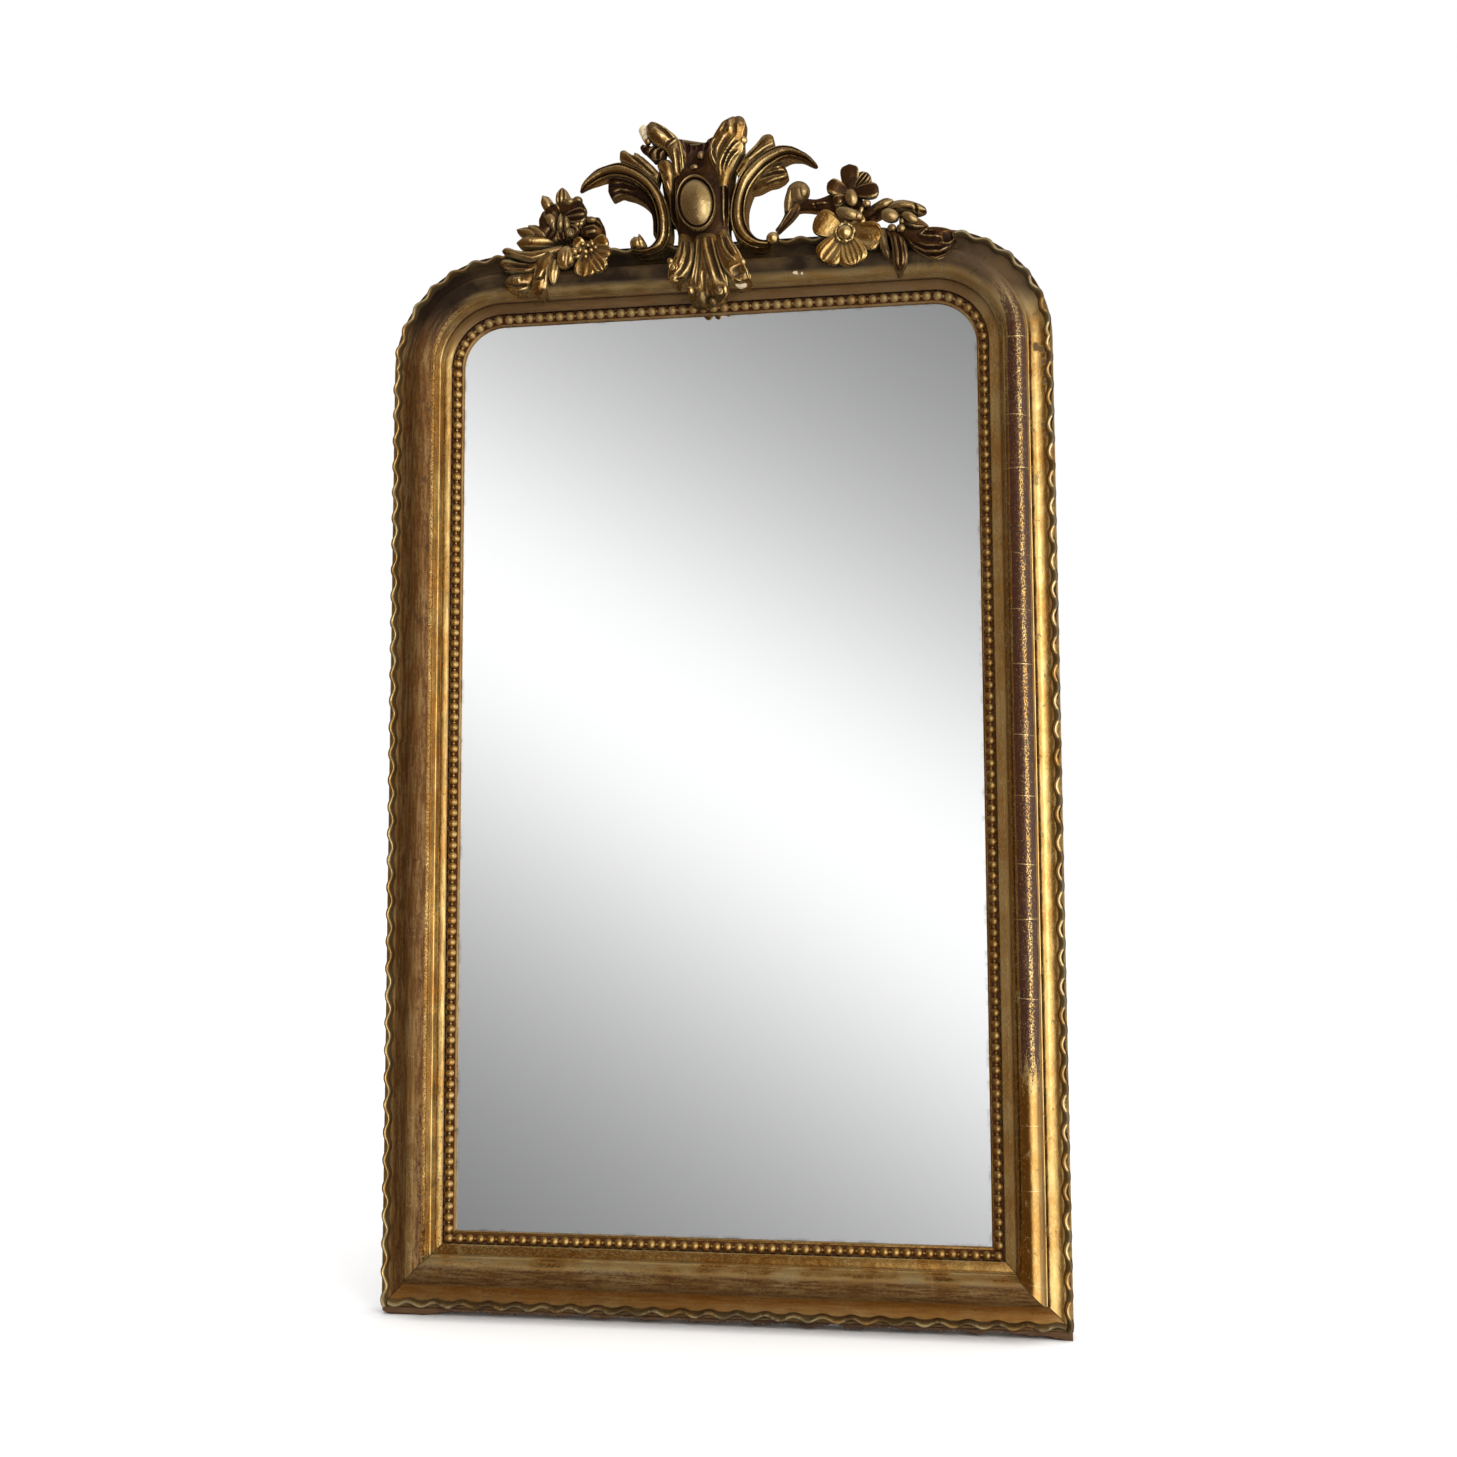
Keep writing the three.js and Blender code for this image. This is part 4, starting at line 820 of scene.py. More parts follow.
def panel(rows, strokes=(), profile=None, fall=4.5, ribs=0, rib=0.8, cup=0.0, tip=0.2, root=0.0,
          bow=0.0, lobes=0, bite=0.0, grain=0.85):
    """A carved form between two drawn edges. Each row holds a and b on one edge, a and b on the
    other, and the front and back heights. It falls away to its edges, ribs run along it, cup
    hollows it, lobes notch its edges, and bow bends its far end. profile gives the drops across
    it, from -1 to 1, instead."""
    rows = np.array(rows, float)
    middle = (rows[:, :2] + rows[:, 2:4]) / 2
    length = np.linalg.norm(np.diff(middle, axis=0), axis=1).sum()
    width = np.linalg.norm(rows[:, 2:4] - rows[:, :2], axis=1).max()
    t = np.linspace(0, 1, max(14, int(length / grain)))
    s = np.sin(QUARTER * np.linspace(-1, 1, max(13, int(1.25 * width / grain))))[None, :]
    a0, b0, a1, b1, front, back = (column[:, None] for column in spline(rows, t).T)
    t = t[:, None]
    ends = np.ones_like(t)
    for share, where in ((tip, t), (root, 1 - t)):
        if share:
            past = np.clip(where - (1 - share), 0, 1) / share
            ends = ends * np.sqrt(np.clip(1 - past**2, 0.006, 1))
    reach = ends * s
    if lobes:
        reach = reach * (1 - bite * (1 - np.abs(np.sin(math.pi * lobes * t)) ** 0.6))
    a = (a0 + a1) / 2 + (a1 - a0) / 2 * reach
    b = (b0 + b1) / 2 + (b1 - b0) / 2 * reach + bow * t**6 * (1 - s**2)
    drop = fall * np.abs(s) ** 2.6 if profile is None else np.interp(s, *np.array(profile, float).T)
    h = front - drop - 0.6 * fall * (1 - ends)
    h = h + rib * ends * np.cos(math.pi * ribs * s) * (1 - s**4) * (ribs > 0)
    h = h - cup * ends * np.clip(1 - (s / 0.75) ** 2, 0, 1)
    h = np.clip(h + cut(a, b, strokes), back + 0.3, HIGHEST)
    h[:, 0] = h[:, -1] = back[:, 0]
    a, b = settle(a, b, front - 3)
    under = []
    for share in (0.85, 0.5, 0.15):
        under.append([v[:, :1] * (1 - share) + v[:, -1:] * share for v in (a, b)] + [back - 0.2])
    a, b, h = (np.hstack([v] + [row[k] for row in under]) for k, v in enumerate((a, b, h)))
    return at_crest(tube(np.stack([a, h, b], -1)))


def leaf(path, **settings):
    """A panel along a path of (a, b, width, front, back)."""
    fine = spline(path, np.linspace(0, 1, 4 * len(path)))
    along = np.gradient(fine[:, :2], axis=0)
    along /= np.linalg.norm(along, axis=1)[:, None]
    half = fine[:, 2] / 2
    edges = [fine[:, 0] + along[:, 1] * half, fine[:, 1] - along[:, 0] * half,
             fine[:, 0] - along[:, 1] * half,
             fine[:, 1] + along[:, 0] * half]
    return panel(np.column_stack(edges + [fine[:, 3], fine[:, 4]]), **settings)


def petal(a, b, h, degrees, length, width, ribs, cup=2.2, thick=7.0, rib=0.6):
    """A round petal from a flower's middle outward, hollowed and finely ribbed."""
    c, s = math.cos(math.radians(degrees)), math.sin(math.radians(degrees))
    rows = [(0.08, 0.36, -2.0), (0.35, 0.80, -0.5), (0.65, 1.0, 1.5), (0.88, 0.96, 1.5),
            (1.0, 0.8, 0.5)]
    path = [(a + length * r * c, b + length * r * s, width * w, h + up, h + up - thick) for r, w,
            up in rows]
    return leaf(path, ribs=ribs, rib=rib, cup=cup, tip=0.42, fall=2.2)


def egg(a, b, h, sizes, degrees=0.0):
    a, b = settle(a, b, h)
    return at_crest(ball((a, b, min(h, HIGHEST - sizes[2])), sizes, math.radians(degrees), 24, 17))


def curl(a, b, h, radius, start=0.0, wire=1.5, turns=1.1):
    """A small raised volute, drawn in from its rim."""
    a, b = settle(a, b, h)
    angle = np.linspace(0, 2 * math.pi * turns, 40)
    reach = radius * (1 - 0.62 * angle / angle[-1])
    q = np.linspace(0, 2 * math.pi, 9, endpoint=False)
    rings = np.array([[(a + (r + wire * math.cos(p)) * math.cos(start + t), h + wire * math.sin(p),
                        b + (r + wire * math.cos(p)) * math.sin(start + t)) for p in q]
                      for r, t in zip(reach, angle)])
    return at_crest(tube(rings))


def crest_piece(name, parts, dull_and_shade, deep=()):
    """A piece of the crest, its gold toned by the given share, partly tarnish and partly painted
    light and shade, and that of its deep parts more, as painted shade.
    """
    shares = [dull_and_shade] * len(parts) + [0.95] * len(deep)
    parts = [*parts, *deep]
    marks = {"dull_and_shade": np.concatenate([np.full(len(part[0]), share) for part,
                                     share in zip(parts, shares)])}
    return make_piece(f"{name}_gilt", parts, GILT_CREST, [name], rough=0.20, sharp=70,
                      gain=0.55, marks=marks)


# How far a scroll drops below its crown, from its outer to its hollow side.
ROLL = [(-1, 12), (-0.96, 8), (-0.88, 5.5), (-0.74, 5.8), (-0.64, 7.6), (-0.56, 5.4), (-0.35, 1.6),
        (-0.1, 0.0), (0.15, 0.3), (0.36, 2.2), (0.50, 5.4), (0.58, 7.0), (0.66, 4.6), (0.76, 3.4),
        (0.86, 4.4), (0.95, 8), (1, 13)]

crest_piece("c_scroll_left", [
    panel([(-138, 59, -136, 57, 30, 24), (-136.5, 68, -129, 63, 33, 22),
           (-128, 79, -119, 69, 35, 18), (-117, 87, -108, 73.5, 36, 15),
           (-104, 91, -99, 75, 37, 12), (-92, 93, -89, 73.5, 38, 8), (-80, 89, -77, 69, 38, 6),
           (-66, 81, -66, 61.5, 38, 4), (-52, 68, -57, 51, 38, 4), (-41, 52, -51, 38, 38, 4),
           (-34, 34, -48, 24, 38, 4), (-31.5, 14, -47, 11, 38, 4), (-33, -2, -48.5, -2, 37, 4),
           (-39, -14, -54, -9, 36, 6), (-52, -20, -61, -12.5, 34, 8), (-66, -21, -68, -13, 32, 10),
           (-77, -17, -76, -11, 30, 14)], profile=ROLL, tip=0.03, root=0.02, grain=0.7),
    panel([(-44, 76, -47, 62, 32, 8), (-57, 90, -60, 74, 35, 8), (-67, 98, -70, 83, 36, 9),
           (-76, 99.5, -79, 88, 36, 10), (-84, 105, -90, 93, 35, 14), (-88, 106, -91, 100, 32, 16)],
          [(-2.2, 2.2, [(-50, 72), (-64, 86), (-78, 98)]),
           (1.6, 1.8, [(-52, 64), (-62, 74), (-74, 84), (-88, 93)])],
          tip=0.16),
    leaf([(-64, 88, 8, 33, 12), (-70, 96, 8, 34, 12), (-73, 101, 4, 32, 14)], tip=0.4),
    egg(-69.5, -7, 31, (7.0, 7.0, 7)),
    leaf([(-64, -13, 9, 34, 18), (-66, -5, 10, 38, 18), (-67.5, 4, 4, 33, 20)], ribs=1, tip=0.4),
    leaf([(-74, -12, 7, 33, 18), (-75, -5, 7, 35, 18), (-72, 1, 3, 31, 20)], tip=0.4),
], dull_and_shade=0.1, deep=[
    panel([(-46, 2, -51, 2, 26, 6), (-47, 22, -51.5, 20, 27, 6), (-50, 38, -56, 33, 27, 6),
           (-57, 50, -64, 41.5, 27, 6), (-66, 61, -74, 47.5, 27, 6), (-77, 68, -83, 50.5, 28, 7),
           (-88, 73, -89, 52, 28, 8), (-95, 74, -95.5, 49.5, 29, 9), (-102, 72, -99, 47.5, 28, 10),
           (-104.5, 60, -103, 52, 26, 12)],
          [(-2.0, 3, [(-72, 56), (-86, 62), (-100, 62)]),
           (1.2, 2, [(-80, 55), (-90, 57), (-99, 54)])], tip=0.08, fall=3),
])
crest_piece("c_scroll_right", [
    panel([(140, 70, 138, 67, 30, 24), (137, 75.5, 132, 71.5, 33, 22), (130, 84, 124, 78.5, 35, 18),
           (121, 91, 114, 82.5, 36, 14), (110, 97, 106, 84, 37, 10), (98, 99.5, 97, 82, 38, 6),
           (86, 98, 89, 77, 38, 4), (73, 92, 80, 71, 38, 4), (61, 83, 71, 62, 38, 4),
           (50, 70, 63, 51, 38, 4), (43, 53, 58.5, 40, 38, 4), (38.5, 34, 56.5, 28, 38, 4),
           (38, 15, 57, 14, 38, 4), (42, 0, 61, 2, 37, 4), (51, -11, 67, -6, 36, 6),
           (64, -19, 73, -10, 34, 8), (77, -21.5, 79, -12, 32, 10), (84, -20, 84, -14, 30, 14)],
           profile=ROLL, tip=0.03, root=0.02, grain=0.7),
    panel([(45, 72, 50, 62, 32, 8), (57, 90, 62, 76, 35, 8), (69, 102, 74, 87, 36, 9),
           (77, 111, 84, 95, 36, 10), (84, 112, 89, 101, 34, 12), (88, 110, 90, 104, 31, 14)],
          [(1.8, 1.8, [(56, 78), (66, 86), (77, 94), (88, 100)]),
           (-2.0, 2.2, [(55, 82), (66, 92), (76, 102)])], tip=0.16),
    panel([(64, 58, 62, 44, 24, 6), (76, 68, 73, 47, 27, 7), (88, 72, 85, 52, 28, 8),
           (97, 76, 92, 53, 28, 8), (103, 70, 99, 55, 27, 9), (106, 63, 105, 58, 25, 10)],
          [(2.0, 2.0, [(76, 66), (86, 70), (97, 72)]), (-2.4, 2.6, [(74, 60), (88, 64), (102, 65)]),
           (1.5, 2.5, [(78, 52), (90, 57), (103, 59)])], tip=0.14),
    egg(87.5, -12, 30, (7.6, 7.6, 9)),
], dull_and_shade=0.1)

crest_piece("upper_leaf_left", [
    panel([(-28, 66, -14, 72, 32, 8), (-29, 84, -13, 90, 35, 8), (-33, 96, -16, 104, 37, 10),
           (-38, 104, -22, 115, 40, 12), (-44, 108, -32, 125, 43, 14), (-50, 112, -42, 132, 45, 18),
           (-55, 117, -51, 137, 44, 20), (-60, 125, -58, 136, 40, 24)],
          [(3.2, 8, [(-36, 112), (-45, 121), (-53, 128)]),
           (1.3, 1.8, [(-26, 116), (-36, 127), (-46, 134), (-54, 136)]),
           (-2.4, 3, [(-28, 113), (-38, 123), (-47, 130)]),
           (1.4, 1.6, [(-35, 103), (-31, 106), (-27, 109), (-23, 113)]),
           (-1.6, 2.0, [(-37, 105), (-32, 110), (-26, 114)]),
           (1.8, 1.7, [(-20, 110), (-18, 100), (-16, 90), (-15, 74)]),
           (1.6, 1.7, [(-27, 101), (-25, 88), (-24, 72)]),
           (-2.2, 1.8, [(-23, 100), (-21, 86), (-20, 72)]),
           (-1.8, 1.6, [(-31, 94), (-28, 80), (-27, 68)])], tip=0.1, fall=4),
    panel([(-33, 40, -26, 44, 26, 8), (-38, 58, -26, 62, 30, 8), (-42, 72, -27, 78, 33, 8),
           (-46, 82, -31, 89, 33, 8), (-46.5, 87, -38, 91, 30, 12)],
          [(1.3, 1.4, [(-32, 54), (-36, 68), (-43, 83)]),
           (-1.8, 1.8, [(-34, 62), (-39, 74), (-44, 80)])], tip=0.2),
    egg(-57, 113, 34, (4, 4, 5)),
], dull_and_shade=0.0, deep=[
    panel([(-35, 112, -38, 92, 32, 16), (-42, 112, -44, 91, 34, 18), (-50, 110, -51, 91, 35, 18),
           (-57, 109, -56, 96, 35, 20), (-63, 111, -62, 101, 34, 22),
           (-66.5, 108, -65.5, 103, 31, 24)],
          [(-3.2, 2.2, [(-38, 104), (-44, 99), (-46, 91)]),
           (-3.2, 2.0, [(-46, 106), (-52, 101), (-56, 95)]),
           (2.2, 3.0, [(-56, 106), (-62, 106)]), (1.8, 2.6, [(-46, 103), (-51, 96)]),
           (-2.4, 1.8, [(-50, 110), (-60, 104)])],
          tip=0.12, fall=5, lobes=4, bite=0.14),
])
make_piece("upper_leaf_left_gesso", [panel(
    [(-61, 112, -56, 111, 36, 24), (-65.5, 121, -56, 120, 40, 22), (-68.5, 128, -56, 128, 41, 22),
     (-66, 134, -59, 134.5, 38, 24)], [(-1.5, 2.0, [(-60, 116), (-62, 124), (-61, 132)])],
     root=0.2, tip=0.3, fall=5)],
    BARE_GESSO, rough=0.5, sharp=60)
crest_piece("upper_leaf_right", [
    panel([(24, 52, 36, 54, 32, 6), (23, 66, 39, 66, 34, 6), (19, 79, 43, 78, 37, 8),
           (14.5, 90, 48, 88, 39, 8), (14, 100, 53, 95, 41, 10), (17, 109, 53, 105, 43, 12),
           (20, 116, 53, 114, 44, 14), (25, 124, 55.5, 124, 44, 18), (30, 131, 56, 131, 42, 22),
           (35, 135.5, 50, 135, 38, 26)],
          [(2.4, 1.8, [(27, 66), (28, 82), (33, 92), (39, 101), (45, 110)]),
           (2.4, 1.8, [(31, 76), (37, 89), (43, 98), (50, 105)]),
           (-3.4, 2.2, [(29, 74), (34, 88), (39, 96), (46, 105)]),
           (2.0, 1.8, [(35, 74), (41, 85), (48, 93)]), (-3.0, 2.2, [(33, 74), (39, 86), (46, 95)]),
           (-2.8, 2.6, [(24, 84), (28, 98), (37, 113)]),
           (2.0, 1.8, [(21, 113), (16.5, 102), (17, 92), (22, 78)]),
           (-2.2, 2.0, [(22, 104), (20, 94), (23, 84)]), (2.4, 6, [(21, 92), (27, 103), (35, 116)]),
           (-2.6, 3, [(29, 117), (35, 128)]), (-2.6, 3, [(44, 115), (45, 128)]),
           (1.6, 3, [(38, 118), (40, 132)])],
          tip=0.14, fall=4),
    egg(53, 106, 36, (6, 5, 5), 0), egg(50.5, 98, 34, (5, 4, 5), 20),
], dull_and_shade=-0.15, deep=[egg(49, 126, 36.5, (8, 9.5, 6.5), 10)])

crest_piece("crest_cartouche", [
    panel([(-22, -14, 38, -14, 32, 2), (-22, -2, 37, -3, 33, 2), (-24.5, 9, 36, 8, 34, 2),
           (-30, 20, 37, 20, 34, 2), (-31.5, 40, 37, 40, 34, 2), (-31, 58, 35, 56, 34, 2),
           (-29, 74, 30, 72, 34, 2), (-26, 90, 27, 90, 33, 2), (-23, 103, 24, 103, 32, 2),
           (-21, 115, 21, 116, 31, 4)],
          [(-6.0, 15, [(-3, 74), (-2, 92), (-1, 112)]),
           (2.6, 2.4, [(27, 76), (30.5, 60), (31, 40), (31, 24), (32, 8)]),
           (-4.0, 2.2, [(34, 66), (34.5, 40), (34, 18)]),
           (-4.0, 3.0, [(-27, 72), (-28, 50), (-27.5, 30), (-24, 12)]),
           (-3.5, 3, [(-14, 112), (-10, 104), (-11, 97)]), (-3.5, 3, [(-5, 109), (-4, 101)]),
           (-3.5, 3, [(9, 112), (12, 104), (10, 97)]),
           (1.5, 2, [(-18, 112), (-13, 100), (-13, 88)])],
          tip=0.0, bow=-10, fall=6),
    egg(5, 92, 30, (4, 5, 5), -10), egg(-3, 78, 31, (5, 3.4, 4), 15),
], dull_and_shade=0.45, deep=[
    panel([(-45, 80, -28, 80, 24, 4), (-41, 64, -27, 64, 24, 4), (-39, 50, -26, 50, 24, 4),
           (-36, 36, -25, 36, 24, 4), (-33, 22, -24, 22, 24, 4), (-31, 13, -23, 12, 24, 4)],
           [(3.0, 2.0, [(-33, 72), (-32, 54), (-30, 36), (-28, 16)])],
          fall=3, tip=0.1),
    panel([(27, 80, 46, 80, 24, 4), (28, 64, 43, 64, 24, 4), (29, 48, 42, 48, 24, 4),
           (30, 32, 41, 32, 24, 4), (31, 18, 40, 18, 24, 4), (32, 7, 40, 6, 24, 4)], fall=3,
           tip=0.1),
])

# The cabochon: a smooth oval dome in a narrow raised rim, leaning a little to the left at its top.
rings = []
for scale, h in [(0.97, 36.2), (1.0, 37.0), (1.0, 40.4), (0.985, 42.2), (0.955, 43.2),
                 (0.92, 42.4), (0.89, 40.0), (0.865, 39.2), (0.84, 39.8), (0.80, 41.2),
                 (0.72, 43.6), (0.6, 45.8), (0.45, 47.6), (0.3, 48.6), (0.15, 49.1), (0.01, 49.2)]:
    angle = np.linspace(0, 2 * math.pi, 84, endpoint=False)
    a, b = 23 * scale * np.cos(angle), 33 * scale * np.sin(angle)
    rings.append(np.column_stack([a - 0.08 * b - 0.4, np.full(84, h), 35.5 + b]))
crest_piece("cabochon", [at_crest(tube(np.array(rings)))], dull_and_shade=0.35)

crest_piece("acanthus_drop", [
    panel([(-6, 4, 26, 4, 30, 2), (-5, -7, 25, -7, 36, 2), (-4, -20, 25, -20, 40, 2),
           (-6, -38, 29, -38, 44, 2), (-10, -52, 34, -52, 43, 2), (-11, -63, 35, -64, 37, 2),
           (-9, -75, 32, -75, 28, 2), (-6, -84, 24, -84, 18, 2), (0, -90, 15, -90, 13, 2)],
          [(2.6, 1.9, [(0, -5), (0, -20), (-2, -36), (-5, -50), (-9, -60)]),
           (-2.6, 2.0, [(-3.5, -8), (-3.5, -24), (-6, -38), (-10, -52)]),
           (-2.2, 2.2, [(4, -6), (3.5, -30), (1, -50), (0, -62)]),
           (3.6, 4.0, [(8.5, -4), (11, -20), (15, -36), (19, -50), (21, -64)]),
           (-3.2, 2.2, [(14, -6), (18, -26), (23, -44), (27, -58)]),
           (2.6, 1.9, [(18, -8), (22, -28), (27, -44), (32, -58)]),
           (-2.6, 2.0, [(22, -10), (25, -28), (30, -44)]),
           (-2.5, 2.4, [(8, -46), (9, -62), (8, -80)]),
           (2.0, 4, [(2, -60), (3, -74), (6, -86)]), (-2.5, 3, [(14, -66), (16, -78)])], tip=0.08,
           fall=5),
    panel([(-21, 3, -2, 3, 29, 2), (-22, -8, -3, -8, 34, 2), (-23, -19, -3, -20, 40, 2),
           (-27, -27, -4, -29, 43, 2), (-32, -36, -6, -37, 45, 2), (-34, -44, -9, -44, 46, 2),
           (-33, -52, -14, -51, 45, 2), (-28, -59, -20, -57, 41, 4)],
          [(3.4, 3.2, [(-5, -9), (-5, -22), (-7, -34), (-11, -43), (-17, -51), (-25, -56),
                       (-31, -55)]),
           (-3.0, 2.8, [(-9.5, -10), (-10, -24), (-13, -35), (-17, -43), (-24, -49)]),
           (1.5, 1.6, [(-13, -9), (-15, -24), (-20, -36)]),
           (1.3, 1.6, [(-18, -9), (-20, -20), (-24, -28)]),
           (-2.0, 1.6, [(-15.5, -10), (-17.5, -24), (-23, -36)])], tip=0.14, fall=3.5),
    curl(-28.5, -38, 44.5, 5.4, start=-0.6), egg(-28.5, -38, 42, (5.6, 5.6, 4)),
    egg(-26.5, -52, 42, (6.5, 5.5, 5), 15),
    egg(-31, -31, 42, (4, 4, 4)),
    panel([(20, 4, 34, 5, 29, 2), (21, -7, 37, -3, 34, 2), (23, -20, 43, -14, 40, 2),
           (26, -32, 50, -26, 43, 2), (31, -43, 55, -38, 45, 2), (38, -53, 60, -48, 44, 2),
           (45, -61, 62, -56, 41, 2), (50, -64, 60, -61, 36, 4)],
          [(2.6, 2.2, [(28, -6), (31, -18), (36, -27), (44, -34)]),
           (2.4, 2.2, [(35, -5), (40, -17), (46, -27)]),
           (-2.8, 2.0, [(31, -6), (35, -19), (42, -31)]), (-3.5, 8, [(44, -42), (50, -54)]),
           (1.6, 1.9, [(30, -42), (40, -54), (52, -62)]),
           (1.8, 1.8, [(54, -40), (58.5, -49), (60, -57)])], tip=0.16, fall=3.5),
    egg(52.5, -37, 40, (4.5, 4.5, 5)), egg(-7, -67, 33, (4, 5.5, 6), 10),
    egg(32.5, -67, 32, (3.4, 6.5, 5), 0),
    curl(26, -69, 36.5, 4.6, start=2.4, wire=1.1),
], dull_and_shade=-0.1, deep=[egg(25, -68, 33, (5.5, 7, 6), 15), egg(18, -81, 22, (5, 5.5, 7)),
                    egg(5, -73, 26, (7.5, 11, 8), 0)])
make_piece("acanthus_chip_gesso", [panel(
    [(44, -62.5, 45, -65, 36, 30), (50, -63, 50, -66.5, 37, 30), (57, -61.5, 58, -65, 36, 30)],
    root=0.2, fall=1.0)],
    BARE_GESSO, rough=0.3)


# ---- Flower sprays ----
def boss(a, b, h, radius):
    """The round middle of a flower in its ragged collar."""
    middle = settle(a, b, h)
    turn = np.linspace(0, 2 * math.pi, 60, endpoint=False)[:, None]
    q = np.linspace(0, 2 * math.pi, 10, endpoint=False)[None, :]
    wire = 1.5 + 0.5 * np.sin(7 * turn) + 0.3 * np.sin(17 * turn + 1)
    reach = radius * 1.24 + wire * np.cos(q) + 0.4 * np.sin(5 * turn)
    rings = np.stack([middle[0] + reach * np.cos(turn), h - 2 + wire * np.sin(q), middle[1]
                      + reach * np.sin(turn)], -1)
    return [egg(a, b, h - 1, (radius, radius, radius * 0.9)), at_crest(tube(rings, closed=True))]


crest_piece("left_open_flower", [
    petal(-128, -11, 40, 262, 32, 24, ribs=2, cup=3.0, rib=0.9),
    petal(-126, -12, 41, 303, 30, 19, ribs=3, cup=2.0, rib=0.9),
    petal(-126, -11, 41, 345, 26, 19, ribs=2, cup=2.6, rib=0.9),
    petal(-126, -10, 39, 28, 24, 16, ribs=1, cup=1.5),
    petal(-130, -10, 39, 140, 18, 14, ribs=1), petal(-130, -11, 40, 196, 17, 12, ribs=1),
    egg(-134, -4, 42, (3.0, 2.6, 3)), egg(-128, -6, 43, (2.6, 2.6, 3)),
    egg(-123, -3, 42, (2.2, 4.0, 3), 15),
    egg(-137, -11, 42, (2.8, 3.2, 3)), egg(-131, -13, 44, (3.4, 3.0, 3)),
    egg(-124, -12, 43, (2.6, 2.6, 3)),
    egg(-130, -19, 42, (2.0, 2.6, 2.5)), egg(-119, -9, 42, (2.4, 2.0, 2.5)),
], dull_and_shade=-0.3)
crest_piece("left_rose", [
    petal(-160, 24, 35, 172, 26, 24, ribs=1, thick=12),
    petal(-160, 24, 36, 130, 24, 22, ribs=2, thick=12),
    petal(-158, 26, 36, 82, 21, 26, ribs=1, thick=12),
    petal(-157, 26, 37, 38, 30, 20, ribs=1, thick=12),
    petal(-157, 28, 39, 8, 27, 18, ribs=2, cup=1.0, thick=12, rib=0.8),
    petal(-160, 24, 36, 232, 24, 20, ribs=3, thick=12),
    petal(-158, 22, 37, 275, 20, 18, ribs=3, thick=12),
    petal(-155, 20, 38, 318, 18, 15, ribs=1, thick=12),
    leaf([(-160, 10, 6, 38, 24), (-161, 22, 8, 44, 26), (-160, 34, 6, 41, 26)], tip=0.35, root=0.3),
    leaf([(-154, 10, 5, 38, 24), (-153, 20, 7, 43, 26), (-154, 31, 5, 41, 26)], tip=0.35, root=0.3),
    leaf([(-167, 12, 5, 37, 24), (-169, 21, 7, 41, 26), (-167, 31, 5, 40, 26)], tip=0.35, root=0.3),
    egg(-149, 10, 38, (6, 5.5, 5)), curl(-149, 10, 42, 4.2, wire=1.0),
    egg(-172, 27, 37, (6, 8, 5), 25),
    egg(-140, 48, 31, (6, 5, 6)), egg(-150, 47, 32, (7, 5, 6)),
], dull_and_shade=0.55)
crest_piece("left_bud", [
    panel([(-140, 6, -134, 1, 30, 18), (-136, 19, -122, 1, 33, 18), (-127, 27, -112, 3, 33, 18),
           (-116, 28, -108, 8, 30, 18), (-112, 22, -108, 14, 27, 18)],
           [(-2.0, 2.5, [(-132, 18), (-120, 20), (-112, 14)]), (1.5, 3, [(-130, 8), (-118, 10)])],
          root=0.2, fall=7),
    egg(-124, 24, 31, (7, 4, 5), -5),
], dull_and_shade=0.75)
crest_piece("left_round_petal", [
    egg(-154, -19, 38, (10, 14, 7), -8),
    leaf([(-149, -8, 6, 43, 34), (-149, -20, 8, 47, 34), (-152, -30, 5, 43, 34)], tip=0.3,
         root=0.3),
    leaf([(-156, -8, 5, 43, 34), (-157, -19, 6, 46, 34), (-157, -29, 4, 42, 34)], tip=0.3,
         root=0.3),
    egg(-144, -12, 42, (4.5, 4, 4), -30),
], dull_and_shade=-0.2)
